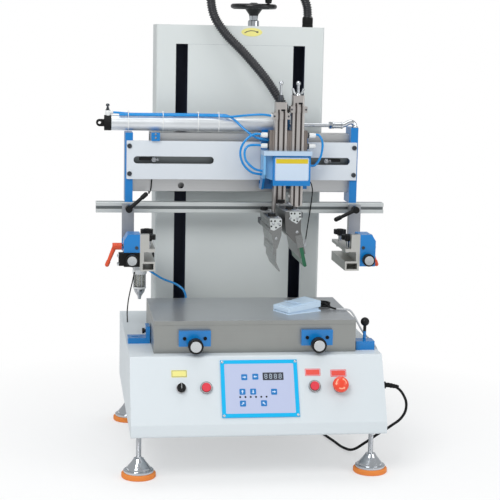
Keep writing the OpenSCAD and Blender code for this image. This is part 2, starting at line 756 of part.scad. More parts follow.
// Air lines that ride on the carriage: each list is the line's route
tube_r = 3;
tube_gap = 0.3;
left_loop = [[cx0 + 5 - tube_gap, fitting_y, shelf_z1 + 12], [cx0 - 18, fitting_y - 1, head_z + 45],
    [cx0 - 38, fitting_y - 2, head_z + 42], [cx0 - 47, fitting_y - 3, head_z + 27],
    [cx0 - 42, fitting_y - 4, head_z + 3], [cx0 - 20, fitting_y - 4, head_z - 17],
    [cx0, fitting_y - 4, head_z - 22]];
outer_loop = [[cx0 + 5 - tube_gap, fitting_y, shelf_z1 + 40], [cx0 - 20, fitting_y + 4, head_z + 73],
    [cx0 - 43, fitting_y + 4, head_z + 58], [cx0 - 57, fitting_y + 4, head_z + 30],
    [cx0 - 51, fitting_y + 4, head_z - 2], [cx0 - 28, fitting_y + 4, head_z - 26],
    [cx0, fitting_y + 4, head_z - 32]];
barrel_line = [[barrel_x0 - 9, barrel_y, barrel_z + 34], [barrel_x0 - 6, barrel_y, barrel_z + 40],
    [barrel_x0 + 10, barrel_y - 1, barrel_z + 30], [-280, barrel_y - 2, barrel_z + 24],
    [-80, barrel_y - 2, barrel_z + 24], [-36, barrel_y - 18, barrel_z + 20],
    [0, barrel_y - 37, head_z + 84], [28, fitting_y + 14, head_z + 64],
    [cx0 + 17, fitting_y + 10, head_z + 57]];
right_loop = [[cx0 + 129 + tube_gap, fitting_y, shelf_z1 + 40], [192, fitting_y, head_z + 72],
    [203, fitting_y + 1, head_z + 52], [200, fitting_y + 2, head_z + 18],
    [186, fitting_y + 3, head_z - 6], [cover_x[1], fitting_y + 3, head_z - 8]];
cylinder_line = [[barrel_x0 + 20, barrel_y - 11, barrel_z + 22], [-200, barrel_y - 11, barrel_z + 22],
    [-80, barrel_y - 11, barrel_z + 22], [-34, barrel_y - 25, barrel_z + 21],
    [10, cyl_y + 6, barrel_z + 27], [44, cyl_y, barrel_z + 29],
    [flood_x - 22, cyl_y, cyl_tops[0] - 11]];
module carriage_tubes() {
    color([0.1, 0.45, 0.78]) {
        tube(spline(left_loop, 3), tube_r);
        tube(spline(outer_loop, 3), tube_r);
        tube(spline(barrel_line, 3), tube_r);
        tube(spline(right_loop, 3), tube_r);
        tube(spline(cylinder_line, 3), tube_r);
    }
}

// Corrugated hose from the column's top to the carriage, in two stretches that meet in a
// plane across Y
hose_r = 12.5;
gland_x = cx0 + 62;
gland_y = mount_face + 24;
gland_z = head_z + 124;
hose_split = [10, screw_y - 47, col_top + 222];
hose_up = [[hose_x, screw_y, col_top + 28], [186, screw_y - 1, col_top + 60],
    [166, screw_y - 4, col_top + 100], [128, screw_y - 7, col_top + 150],
    [80, screw_y - 9, col_top + 192], [34, screw_y - 19, col_top + 217],
    hose_split + [0, 14, 0]];
hose_down = [hose_split - [0, 14, 0], [-24, screw_y - 77, col_top + 200],
    [-64, screw_y - 89, col_top + 150], [-84, screw_y - 95, col_top + 90],
    [gland_x - 185, gland_y + 48, gland_z + 256], [gland_x - 154, gland_y + 42, gland_z + 206],
    [gland_x - 105, gland_y + 30, gland_z + 156], [gland_x - 53, gland_y + 12, gland_z + 96],
    [gland_x - 17, gland_y + 2, gland_z + 44], [gland_x - 2, gland_y, gland_z + 20],
    [gland_x, gland_y, gland_z + 10]];
module hose_upper() {
    color([0.15, 0.16, 0.18]) {
        tube(concat(spline(hose_up, 2), [hose_split]), hose_r, 12);
        rod_z(hose_x, screw_y, col_top - col_sheet - 8, col_top + 1, collar_r - 0.1);
        rod_z(hose_x, screw_y, col_top, col_top + 27.9, hose_r + 2);
    }
}
module hose_lower() {
    color([0.15, 0.16, 0.18]) {
        tube(concat([hose_split], spline(hose_down, 2)), hose_r, 12);
        rod_z(gland_x, gland_y, gland_z, gland_z + 9.9, hose_r + 2);
    }
}

// Squeegee and flood bar: each hangs from its lift rod by an arm and a tilting pivot
arm_h = 14;
arm_drop = 15;
arm_tops = [cyl_tops[0] - cyl_h - arm_drop, cyl_tops[1] - cyl_h - arm_drop];
arm_front = mount_face - 49;
holder_y1 = arm_front - 12;
holder_y0 = holder_y1 - holder_len;
flood_pivot = [carriage_x - 54, arm_tops[0] - arm_h / 2];
squeegee_pivot = [carriage_x - 10, arm_tops[1] - arm_h / 2];
pivot_r = 5;
stem_tip_r = 3.5;
knob_top = head_z + 211;
holder_top = 30;

module lift_rod(x, arm_z, cap_z) {
    rod_z(x, cyl_y, arm_z - arm_h + 2, cap_z + 2, rod_r);
    rod_z(x, cyl_y, cap_z + 1, knob_top - 5, stem_tip_r);
    translate([x, cyl_y, knob_top - 6]) sphere(r = 6);
}
module pivot(p) {
    rod_y(p[0], holder_y1 - 14, arm_front + 6, p[1], pivot_r);
    rod_y(p[0], holder_y1 + slide_gap, arm_front + 1, p[1], 6.9);
}
module lift_arm(x0, x1, y0, y1, top) {
    block(x0, x1, y0, y1, top - arm_h, top);
}
module squeegee_lift() {
    color([0.3, 0.32, 0.34]) {
        lift_rod(squeegee_x, arm_tops[1], cyl_tops[1] + cap_h);
        lift_arm(squeegee_x - 14, squeegee_x + 14, arm_front, cyl_y + 14, arm_tops[1]);
        lift_arm(squeegee_pivot[0] - 13, squeegee_x, arm_front, arm_front + 14,
            arm_tops[1]);
        pivot(squeegee_pivot);
    }
}
module flood_lift() {
    color([0.3, 0.32, 0.34]) {
        lift_rod(flood_x, arm_tops[0], cyl_tops[0] + cap_h);
        lift_arm(flood_pivot[0] - 13, flood_x + 13, cyl_y - 13, cyl_y + 14, arm_tops[0]);
        lift_arm(flood_pivot[0] - 13, flood_pivot[0] + 13, arm_front, cyl_y,
            arm_tops[0]);
        pivot(flood_pivot);
    }
}

// Two thumb screws that hold a blade in its head
thumb_r = 10;
thumb_inset = 14;
module thumb_screws(p) {
    for (y = [holder_y0 + thumb_inset, holder_y1 - thumb_inset])
        translate([p[0] - 8, y, p[1] + holder_top - eps]) {
            cylinder(h = 6, r = 4.5);
            translate([0, 0, 5]) difference() {
                cylinder(h = 8, r = thumb_r);
                for (k = [0 : 7]) rotate([0, 0, 45 * k])
                    translate([thumb_r + 1.6, 0, -1]) cylinder(h = 10, r = 2.8);
            }
        }
}

blade_root = squeegee_pivot + [11, -33];
blade_dir = [sin(blade_lean), -cos(blade_lean)];
blade_side = [cos(blade_lean), sin(blade_lean)];
blade_long = 78;
back_plate = 53;
front_plate_end = 46;
function along_blade(a, b) = blade_root + a * blade_dir + b * blade_side;
function from_pivot(p, list) = [for (q = list) p + q];
module squeegee_holder() {
    h = holder_w / 2;
    color([0.74, 0.76, 0.78]) difference() {
        union() {
            along_y(holder_y0, holder_len) polygon(rounded(from_pivot(squeegee_pivot, [
                [-h, holder_top], [-h, 8], [3 - h, -24], [5, -48], [25, -48], [h + 6, -40],
                [h, -18], [h, holder_top]]), 2.5, 3));
            // Plates on both sides of the rubber
            along_y(holder_y0, holder_len) polygon([along_blade(-6, -4.5),
                along_blade(back_plate, -4.5), along_blade(back_plate, 0.5),
                along_blade(-6, 0.5)]);
            along_y(holder_y0, holder_len) polygon([along_blade(0, rubber_t - 0.5),
                along_blade(front_plate_end, rubber_t - 0.5),
                along_blade(front_plate_end, rubber_t + 3), along_blade(0, rubber_t + 3)]);
            thumb_screws(squeegee_pivot);
        }
        rod_y(squeegee_pivot[0], holder_y1 - 16, holder_y1 + 1, squeegee_pivot[1],
            pivot_r + run_fit);
        // Seat of the rubber blade
        along_y(holder_y0 - 1, holder_len + 2) polygon([along_blade(-2, 0),
            along_blade(back_plate + 1, 0), along_blade(back_plate + 1, rubber_t + 0.1),
            along_blade(-2, rubber_t + 0.1)]);
        // Step between the clamp's upper jaw and its lower one
        along_y(holder_y0 - 1, holder_len + 2) translate(squeegee_pivot + [-h, -27])
            circle(r = 7, $fn = 24);
        // Screw seats in the head's front end
        for (q = [[10, -20], [-8, 14], [10, 14]])
            rod_y(squeegee_pivot[0] + q[0], holder_y0 - 1, holder_y0 + 4,
                squeegee_pivot[1] + q[1], 3.5);
    }
}
module squeegee_blade() {
    color([0.1, 0.34, 0.25]) along_y(holder_y0, holder_len) polygon([
        along_blade(-2, 0), along_blade(blade_long - 4, 0), along_blade(blade_long, 2.5),
        along_blade(blade_long, rubber_t - 1.5), along_blade(blade_long - 2, rubber_t),
        along_blade(-2, rubber_t)]);
}
module flood_holder() {
    h = flood_w / 2;
    color([0.76, 0.77, 0.79]) difference() {
        union() {
            along_y(holder_y0, holder_len) polygon(rounded(from_pivot(flood_pivot, [
                [-h, holder_top], [-h, -4], [-9, -10], [-2, -44], [6, -44], [10, -30],
                [h, -10], [h, holder_top]]), 2, 3));
            // Jaw that grips the flood blade
            along_y(holder_y0, holder_len) polygon(from_pivot(flood_pivot, [
                [-4, -38], [-4.5, -58], [-2.5, -62], [1.5, -52], [5, -42], [5, -38]]));
            along_y(holder_y0, holder_len) polygon(from_pivot(flood_pivot, [
                [1, -42], [1.5, -80], [11.5, -102], [11.5 + flood_t, -101],
                [1.5 + flood_t, -79], [1 + flood_t, -42]]));
            thumb_screws(flood_pivot);
        }
        rod_y(flood_pivot[0], holder_y1 - 16, holder_y1 + 1, flood_pivot[1],
            pivot_r + run_fit);
        // Groove along the casting's left side
        along_y(holder_y0 - 1, holder_len + 2) translate(flood_pivot + [-h, 10])
            circle(r = 4, $fn = 24);
        for (q = [[2, -18], [-6, 18], [8, 18]])
            rod_y(flood_pivot[0] + q[0], holder_y0 - 1, holder_y0 + 4,
                flood_pivot[1] + q[1], 3.2);
    }
}

// Screen clamps: every piece is drawn for the right side and mirrored for the left
channel_out = channel_in + channel_w;
channel_y0 = plate_front - 192;
channel_z0 = head_z - 261;
jaw_top = channel_z0 + jaw_h;
lip_z = jaw_top + frame_gap;
lip_t = 8;
channel_wall = 8;
arm_in = channel_out + 8;
arm_out = channel_out + 39;
arm_y0 = rail_front - 22;
arm_z0 = channel_z0 + 34;
arm_z1 = rail_z1 - 4;
lever_z = (rail_z0 + rail_z1) / 2;
lever_x = (arm_in + arm_out) / 2 - 1.5;
lever_stud_r = 4;
side_bar_z = [channel_z0 + 26, channel_z0 + 58];
orange_y = channel_y0 + 140;
orange_z = (side_bar_z[0] + side_bar_z[1]) / 2;
orange_stud_r = 5;
front_block = 60;
clamp_knob_x = channel_out + 22;
clamp_knob_z = head_z - 232;
star_x = channel_in + 13;
star_y0 = channel_y0 + 38;
star_z = head_z - 182;

module side(s) {
    mirror([s < 0 ? 1 : 0, 0, 0]) children();
}

module clamp_arm() {
    difference() {
        union() {
            // Grey upright that hangs on the rail's front
            block(arm_in, arm_out, arm_y0, rail_front - slide_gap, arm_z0, arm_z1);
            // Tongue in the rail's groove
            block(arm_in + 2, arm_out - 2, rail_front - slide_gap - eps,
                rail_front + 2, lever_z - groove / 2 + slide_gap,
                lever_z + groove / 2 - slide_gap);
            // Blue side bar and front block
            block(arm_in, arm_in + 20, channel_y0 + front_block - eps, arm_y0 + eps,
                side_bar_z[0], side_bar_z[1]);
            translate([0, channel_y0 + front_block, 0]) rotate([90, 0, 0])
                linear_extrude(front_block) polygon(rounded([
                    [channel_out, channel_z0 + 11], [channel_out + 42, channel_z0 + 11],
                    [channel_out + 42, channel_z0 + 76], [channel_out + 32, channel_z0 + 92],
                    [channel_out, channel_z0 + 92]], 2, 3));
            block(channel_out - 21, channel_out + 33, channel_y0, channel_y0 + 20,
                lip_z + lip_t, channel_z0 + 92);
            rod_x(arm_in + 19, arm_in + 33, orange_y, orange_z, 11);
            // Rear tie between the side bar and the channel
            block(channel_out, arm_in + 1, orange_y - 20, orange_y + 20, side_bar_z[0] + 4,
                side_bar_z[1] - 4);
        }
        rod_y(lever_x, arm_y0 - 1, rail_front + 3, lever_z, lever_stud_r + run_fit);
        rod_x(arm_in + 2, arm_in + 34, orange_y, orange_z, orange_stud_r + run_fit);
        rod_y(clamp_knob_x, channel_y0 - 1, channel_y0 + 42, clamp_knob_z, 5 + run_fit);
    }
}
module left_clamp_arm() { color([0.1, 0.42, 0.72]) side(-1) clamp_arm(); }
module right_clamp_arm() { color([0.1, 0.42, 0.72]) side(1) clamp_arm(); }

module frame_channel() {
    difference() {
        along_y(channel_y0, channel_len) polygon([
            [channel_in, channel_z0], [channel_out, channel_z0],
            [channel_out, lip_z + lip_t], [channel_in, lip_z + lip_t],
            [channel_in, lip_z], [channel_out - channel_wall, lip_z],
            [channel_out - channel_wall, jaw_top], [channel_in, jaw_top]]);
        // Hollow of the lower jaw
        along_y(channel_y0 - 1, channel_len + 2) polygon(rect(channel_in + 4,
            channel_z0 + 4, channel_out - 5, jaw_top - 5));
        for (y = [star_y0, star_y0 + star_pitch])
            rod_z(star_x, y, lip_z - 1, lip_z + lip_t + 1, 4 + run_fit);
    }
}
module left_channel() { color([0.78, 0.79, 0.81]) side(-1) frame_channel(); }
module right_channel() { color([0.78, 0.79, 0.81]) side(1) frame_channel(); }

star_lobes = 6;
module star_screw(y) {
    rod_z(star_x, y, lip_z - 5, star_z - 6, 4);
    rod_z(star_x, y, lip_z - 6, lip_z, 9);
    translate([star_x, y, star_z - 8]) {
        cylinder(h = 5, r = 7);
        translate([0, 0, 4]) difference() {
            cylinder(h = 12, r = star_r);
            for (k = [0 : star_lobes - 1]) rotate([0, 0, 60 * k])
                translate([star_r + 2.2, 0, -1]) cylinder(h = 14, r = 4.6);
        }
        translate([0, 0, 15]) cylinder(h = 2.5, r = 8);
    }
}
module left_front_screw() { color([0.1, 0.1, 0.1]) side(-1) star_screw(star_y0); }
module left_rear_screw() {
    color([0.1, 0.1, 0.1]) side(-1) star_screw(star_y0 + star_pitch);
}
module right_front_screw() { color([0.1, 0.1, 0.1]) side(1) star_screw(star_y0); }
module right_rear_screw() {
    color([0.1, 0.1, 0.1]) side(1) star_screw(star_y0 + star_pitch);
}

// Black ratchet lever: angle is the handle's direction from +X towards +Z
module arm_lever(x, angle) {
    translate([x, 0, lever_z]) {
        rod_y(0, arm_y0 - 2, rail_front - 1, 0, lever_stud_r);
        rod_y(0, arm_y0 - 24, arm_y0 - slide_gap, 0, 9);
        rotate([0, -angle, 0]) {
            translate([0, arm_y0 - 17, 0]) rotate([0, 90, 0])
                cylinder(h = 44, r1 = 5.5, r2 = 4.5);
            translate([44, arm_y0 - 17, 0]) rotate([0, 90, 0]) cylinder(h = 14, r = 6);
            translate([58, arm_y0 - 17, 0]) sphere(r = 6);
        }
    }
}
module left_arm_lever() { color([0.08, 0.08, 0.09]) arm_lever(-lever_x, 42); }
module right_arm_lever() { color([0.08, 0.08, 0.09]) arm_lever(lever_x, 206); }

module orange_lever() {
    x0 = arm_in + 33;
    translate([0, orange_y, orange_z]) {
        rod_x(arm_in + 4, x0 + 8, 0, 0, orange_stud_r);
        rod_x(x0 + slide_gap, x0 + 24, 0, 0, 9);
        translate([x0 + 18, 0, 0]) rotate([0, 158, 0]) {
            cylinder(h = 42, r1 = 6, r2 = 4.6);
            translate([0, 0, 42]) cylinder(h = 10, r = 5.6);
            translate([0, 0, 52]) sphere(r = 5.6);
        }
    }
}
module left_orange_lever() { color([0.88, 0.33, 0.2]) side(-1) orange_lever(); }
module right_orange_lever() { color([0.88, 0.33, 0.2]) side(1) orange_lever(); }

module clamp_knob() {
    rod_y(clamp_knob_x, channel_y0 - 6, channel_y0 + 40, clamp_knob_z, 5);
    translate([clamp_knob_x, channel_y0 - slide_gap, clamp_knob_z]) rotate([90, 0, 0])
        rotate_extrude() polygon([[0, 0], [9, 0], [9, 4], [15.5, 5], [15.5, 19], [14, 21],
            [12.5, 21], [12.5, 19.5], [0, 19.5]]);
}
module left_clamp_knob() { color([0.12, 0.12, 0.13]) side(-1) clamp_knob(); }
module right_clamp_knob() { color([0.12, 0.12, 0.13]) side(1) clamp_knob(); }

// Printing table
runner_x = 150;
guide_bar_x = -table_w / 2 - 12;
runner_top = base_top + 23;
spindle_z = base_top + 25;
spindle_r = 5;
adjuster_t = 12;
left_guide_y = table_front + 112;
right_guide_y = table_front + 34;
module worktable() {
    color([0.56, 0.57, 0.57]) difference() {
        union() {
            difference() {
                block(-table_w / 2, table_w / 2, table_front, table_rear,
                    base_top + table_gap, table_top);
                block(skirt - table_w / 2, table_w / 2 - skirt, table_front + skirt,
                    table_rear - skirt, base_top, table_top - table_plate);
                // Chamfered step under the top plate's edge
                for (s = [-1, 1]) block(s * table_w / 2 - 0.8, s * table_w / 2 + 0.8,
                    table_front - 1, table_rear + 1, table_top - table_plate - 1.2,
                    table_top - table_plate);
                block(-table_w, table_w, table_front - 1, table_front + 0.8,
                    table_top - table_plate - 1.2, table_top - table_plate);
            }
            // Runners over the guide bars
            for (x = [-runner_x, runner_x]) difference() {
                block(x - 22, x + 22, table_front + 60, table_rear - 60, base_top + 6,
                    table_top - table_plate + eps);
                block(x - 12 - slide_gap, x + 12 + slide_gap, table_front + 59,
                    table_rear - 59, base_top, runner_top);
            }
            // Blue adjuster blocks on the front skirt
            for (s = [-1, 1]) block(s * table_knob_x - 39, s * table_knob_x + 39,
                table_front - adjuster_t, table_front + eps, base_top + 19,
                base_top + 57);
        }
        for (s = [-1, 1]) rod_y(s * table_knob_x, table_front - adjuster_t - 1,
            table_front + skirt + 1, spindle_z, spindle_r + run_fit);
    }
}

module table_brackets() {
    color([0.08, 0.45, 0.75]) {
        for (x = [-runner_x, runner_x])
            block(x - 12, x + 12, table_front + 66, table_rear - 50, base_top,
                runner_top);
        // Threaded posts of the two adjusting spindles
        for (s = [-1, 1]) difference() {
            block(s * table_knob_x - 11, s * table_knob_x + 11, table_front + 20,
                table_front + 38, base_top, spindle_z + 14);
            rod_y(s * table_knob_x, table_front + 19, table_front + 39, spindle_z,
                spindle_r + run_fit);
        }
        // Left side guide: an angle with a slotted foot and its screw
        difference() {
            along_y(left_guide_y, 44) polygon(rounded([[-base_w / 2 + 3, base_top],
                [-table_w / 2 - 2, base_top], [-table_w / 2 - 2, base_top + 43],
                [guide_bar_x, base_top + 43], [guide_bar_x, base_top + 14],
                [-base_w / 2 + 3, base_top + 14]], 0.8, 2));
            for (x = [-294, -284])
                rod_z(x, left_guide_y + 22, base_top - 1, base_top + 15, 4.5);
            block(-294, -284, left_guide_y + 17.5, left_guide_y + 26.5, base_top - 1,
                base_top + 15);
        }
        rod_x(guide_bar_x - 9, -table_w / 2 - slide_gap, left_guide_y + 14, base_top + 30,
            4);
        rod_x(guide_bar_x - 9, guide_bar_x - 3, left_guide_y + 14, base_top + 30, 7);
        // Right side guide: a block with a locking stud and ball knob
        block(table_w / 2 + 5, table_w / 2 + 52, right_guide_y - 19, right_guide_y + 19,
            base_top, base_top + 22);
        rod_x(table_w / 2 + slide_gap, table_w / 2 + 6, right_guide_y, base_top + 13, 5);
        rod_z(table_w / 2 + 30, right_guide_y, base_top + 21, base_top + 62, 4);
        translate([table_w / 2 + 30, right_guide_y, base_top + 68]) sphere(r = 11);
    }
}

module table_knob(x) {
    rod_y(x, table_front - adjuster_t - 8, table_front + 56, spindle_z, spindle_r);
    rod_y(x, table_front - adjuster_t - 12, table_front - adjuster_t - slide_gap,
        spindle_z, 11);
    translate([x, table_front - adjuster_t - 12, spindle_z]) rotate([90, 0, 0])
        rotate_extrude() polygon([[0, 0], [table_knob_r - 2, 0], [table_knob_r, 2],
            [table_knob_r, 20], [table_knob_r - 2, 22], [table_knob_r - 4, 22],
            [table_knob_r - 4, 20.4], [0, 20.4]]);
}
module left_table_knob() { color([0.1, 0.1, 0.11]) table_knob(-table_knob_x); }
module right_table_knob() { color([0.1, 0.1, 0.11]) table_knob(table_knob_x); }

// Controls on the sloped face
barrel_out = barrel_hole - 0.05;
stem_r = 9;
panel_x = 2;
panel_s = 12;
module button_body(x, outer, h) {
    on_face(x, button_s) difference() {
        union() {
            cylinder(h = h, r = outer);
            translate([0, 0, -34]) cylinder(h = 34 + eps, r = barrel_out);
            translate([-15, -20, -62]) cube([30, 40, 29]);
            translate([0, 0, -sheet - 5]) cylinder(h = 5, r = 14);
        }
        translate([0, 0, 2]) cylinder(h = h, r = cap_r + 0.3);
        translate([0, 0, -33]) cylinder(h = 40, r = stem_r + run_fit);
    }
}
module control_panel() {
    color([0.8, 0.8, 0.88]) {
        on_face(panel_x, panel_s + panel_h / 2) translate([0, 0, panel_t / 2])
            cube([panel_w, panel_h, panel_t], center = true);
        for (x = [start_x, stop_x]) button_body(x, bezel_r, 6);
        button_body(selector_x, 12.5, 4);
        button_body(estop_x, 15.5, 8);
    }
}
module push_button(x) {
    on_face(x, button_s) {
        translate([0, 0, -26]) cylinder(h = 33, r = stem_r);
        translate([0, 0, 2 + 4.3]) cylinder(h = 4, r = cap_r);
    }
}
module start_button() { color([0.88, 0.27, 0.33]) push_button(start_x); }
module stop_button() { color([0.88, 0.27, 0.33]) push_button(stop_x); }
module emergency_stop() {
    color([0.94, 0.3, 0.2]) on_face(estop_x, button_s) {
        translate([0, 0, -26]) cylinder(h = 40, r = stem_r);
        translate([0, 0, 8]) rotate_extrude() polygon([[0, 5], [mushroom_r - 3, 5],
            [mushroom_r, 7], [mushroom_r, 12], [mushroom_r - 2, 15],
            [mushroom_r - 7, 18], [mushroom_r - 13, 19.4], [0, 20]]);
    }
}
module selector_knob() {
    color([0.08, 0.08, 0.09]) on_face(selector_x, button_s) {
        translate([0, 0, -26]) cylinder(h = 32, r = stem_r);
        translate([0, 0, 4 + slide_gap]) cylinder(h = 6, r = 10.8);
        translate([-3, -10, 8]) cube([6, 20, 8]);
    }
}

// Foot pedal parked on the table, turned to lie across it
pedal_x = 121.5;
pedal_y = table_front + 118.5;
pedal_turn = 27;
pedal_l = 105;
pedal_w = 70;
pedal_wall = 2.8;
hinge_x = 9 - pedal_l / 2;
hinge_z = 9.3;
hinge_r = 2;
hood_l = pedal_l - 2;
hood_z = [15, 27];
hood_lip = [5, 12];
gland_hole = 6;
module at_pedal() {
    translate([pedal_x, pedal_y, table_top + 0.05]) rotate([0, 0, pedal_turn]) children();
}
module pedal_tray(t) {
    linear_extrude(40) polygon(rounded(rect(t - hood_l / 2, t - pedal_w / 2,
        hood_l / 2 - t, pedal_w / 2 - t), 5 - t / 2));
}
module pedal_base() {
    color([0.66, 0.74, 0.82]) at_pedal() difference() {
        union() {
            linear_extrude(3) polygon(rounded(rect(-pedal_l / 2, -pedal_w / 2,
                pedal_l / 2, pedal_w / 2), 5));
            intersection() {
                pedal_tray(pedal_wall + 1.2);
                translate([-pedal_l, -pedal_w, 0]) cube([2 * pedal_l, 2 * pedal_w, 9]);
            }
            for (s = [-1, 1]) block(hinge_x - 3, hinge_x + 6,
                s * (pedal_w / 2 - 5.5) - 1.5, s * (pedal_w / 2 - 5.5) + 1.5, 2, 12.8);
        }
        // Open well for the switch, and a way for the hinge pin
        translate([0, 0, 3]) pedal_tray(pedal_wall + 4.2);
        block(hinge_x - 6, hinge_x + 3, -28, 28, hinge_z - 2.8, hinge_z + 3);
        for (s = [-1, 1]) translate([hinge_x, s * (pedal_w / 2 - 5.5) - 3, hinge_z])
            rotate([-90, 0, 0]) cylinder(h = 6, r = hinge_r + run_fit);
    }
    color([0.2, 0.2, 0.2]) at_pedal() {
        block(-10, 14, -12, 12, 3, 11);
        translate([pedal_l / 2 - 6, 0, 6]) rotate([0, 90, 0]) cylinder(h = 14, r = 4.5);
    }
}
// Sloping hood over the tray: low at its hinge and high where the cord leaves
module pedal_treadle() {
    n = hood_l / 2;
    color([0.7, 0.78, 0.86]) at_pedal() {
        difference() {
            intersection() {
                pedal_tray(0);
                along_y(-pedal_w / 2, pedal_w) polygon([[-n, hood_lip[0]], [n, hood_lip[1]],
                    [n, hood_z[1] - 1.5], [n - 1.5, hood_z[1]], [1.5 - n, hood_z[0]],
                    [-n, hood_z[0] - 1.5]]);
            }
            intersection() {
                pedal_tray(pedal_wall);
                along_y(-pedal_w / 2, pedal_w) polygon([[-n, -1], [n, -1],
                    [n, hood_z[1] - 2.5], [-n, hood_z[0] - 2.5]]);
            }
            block(n - 5, n + 1, -gland_hole, gland_hole, 0, 19);
        }
        // Raised tread plate
        intersection() {
            pedal_tray(9);
            along_y(-pedal_w / 2, pedal_w) polygon([[-n, hood_z[0] - 1],
                [n, hood_z[1] - 1], [n, hood_z[1] + 1], [-n, hood_z[0] + 1]]);
        }
        translate([hinge_x, 1.5 - pedal_w / 2, hinge_z]) rotate([-90, 0, 0])
            cylinder(h = pedal_w - 3, r = hinge_r);
    }
}

// Filter and air line beside the column
filter_x = -col_w / 2 - 38;
filter_y = col_front + 30;
filter_z = base_top + 140;
tube_drop_x = -142;
tube_drop_y = table_rear + 23;
module filter_body() {
    color([0.3, 0.32, 0.34]) difference() {
        union() {
            translate([filter_x, filter_y, filter_z]) linear_extrude(34)
                polygon(rounded(rect(-19, -19, 19, 19), 5));
            rod_z(filter_x, filter_y, filter_z + 33, filter_z + 40, 15);
            rod_z(filter_x, filter_y, filter_z + 39, filter_z + 62, 17);
            block(filter_x + 18, -col_w / 2, filter_y - 12, filter_y + 12,
                filter_z + 6, filter_z + 28);
            block(-col_w / 2 - 4, -col_w / 2, filter_y - 16, filter_y + 16,
                filter_z - 10, filter_z + 44);
            rod_y(filter_x + 8, filter_y - 27, filter_y - 18, filter_z + 12, 6.5);
        }
        // Air inlet port
        rod_x(filter_x - 20, filter_x - 5, filter_y, filter_z + 16, 6.6);
    }
}
bowl_in = 12.5;
module filter_bowl() {
    color([0.7, 0.75, 0.78]) translate([filter_x, filter_y, 0]) rotate_extrude()
        polygon([[0, filter_z - 84], [4, filter_z - 84], [5, filter_z - 76],
            [13, filter_z - 64], [15, filter_z - 56], [15, filter_z - 4],
            [17, filter_z - 4], [17, filter_z], [bowl_in, filter_z],
            [bowl_in, filter_z - 55], [bowl_in - 2, filter_z - 62],
            [3, filter_z - 73], [0, filter_z - 73]]);
}
supply_route = [[filter_x + 8, filter_y - 27, filter_z + 12],
    [filter_x + 10, filter_y - 37, filter_z + 11], [filter_x + 26, filter_y - 53, filter_z + 1],
    [filter_x + 57, tube_drop_y + 30, base_top + 123], [tube_drop_x - 26, tube_drop_y + 20,
    base_top + 109], [tube_drop_x - 4, tube_drop_y + 8, base_top + 89],
    [tube_drop_x, tube_drop_y, base_top + 50], [tube_drop_x, tube_drop_y, base_top + 4]];
module supply_tube() {
    color([0.1, 0.45, 0.78]) {
        tube(spline(supply_route, 3), tube_r);
        rod_z(tube_drop_x, tube_drop_y, base_top, base_top + 3.9, 8);
        rod_z(tube_drop_x, tube_drop_y, base_top - 9, base_top + 1, 5.8);
    }
}

// Sockets on the cabinet's right wall, and the two cords
module side_sockets() {
    color([0.55, 0.56, 0.58]) {
        rod_x(base_w / 2, base_w / 2 + 4, socket_y, socket_z, 13);
        rod_x(base_w / 2 + 3, base_w / 2 + 34, socket_y, socket_z, 9);
        rod_x(base_w / 2 + 33, base_w / 2 + 42, socket_y, socket_z, 6);
        block(base_w / 2, base_w / 2 + 16, pedal_socket_y - 8, pedal_socket_y + 8,
            pedal_socket_z - 10, pedal_socket_z + 12);
    }
}
pedal_cord_r = 2.5;
pedal_gland = [pedal_x + 60.5 * cos(pedal_turn), pedal_y + 60.5 * sin(pedal_turn),
    table_top + 6.05];
pedal_route = [pedal_gland, [190, -57.5, 379], [205, -50, 378], [215.5, -38, 377.6],
    [215, -21, 377.6], [202.5, -10, 377.6], [186, -10.5, 377.6], [174.5, -23, 377.6],
    [175, -40, 378.5], [187.5, -51.5, 382], [205, -50, 383.8], [216, -38, 383.2],
    [215, -21, 382.8], [202.5, -10, 382.8], [186, -10.5, 382.8], [174, -23, 382.8],
    [174, -40, 384.5], [184, -53, 388.5], [199, -66, 387], [213, -79, 380],
    [228, -90, 378], [243, -97, 378.6], [255, -101, 377.6], [266, -108, 366],
    [277, -118, 344], [290, -132, 322], [306, -148, 305], [316, -162, 288],
    [318, -177, 264], [318, -185, 240], [318, pedal_socket_y, pedal_socket_z + 12]];
module pedal_cable() {
    color([0.1, 0.1, 0.1]) tube(spline(pedal_route, 2), pedal_cord_r, 8);
}
mains_r = 3.5;
mains_route = [[base_w / 2 + 42, socket_y, socket_z], [374, -154, 186],
    [392, -156, 166], [400, -156, 138], [391, -155, 110], [364, -152, 86],
    [330, -146, 62], [300, -134, 36], [276, -110, 12], [262, -72, 3.6], [244, 0, 3.6],
    [226, 80, 3.6], [214, 150, 4], [213, 184, 4]];
coil_x = 170;
coil_y = 190;
coil_r = 40;
plug_x = coil_x - 44;
module mains_cable() {
    color([0.08, 0.08, 0.08]) tube(spline(mains_route, 2), mains_r, 8);
}
module mains_coil() {
    color([0.08, 0.08, 0.08]) {
        translate([coil_x, coil_y, 0.5]) rotate_extrude()
            translate([coil_r, 0]) polygon(rounded(rect(-7.4, 0, 7.4, 21.5), 3));
        // Plug at the lead's end
        block(plug_x - 18, plug_x + 18, coil_y + 50, coil_y + 86, 0.5, 26);
        for (x = [-9.5, 9.5]) rod_y(plug_x + x, coil_y + 85, coil_y + 105, 13, 2.4);
        rod_y(plug_x, coil_y + 14, coil_y + 51, 13, 4.5);
    }
}

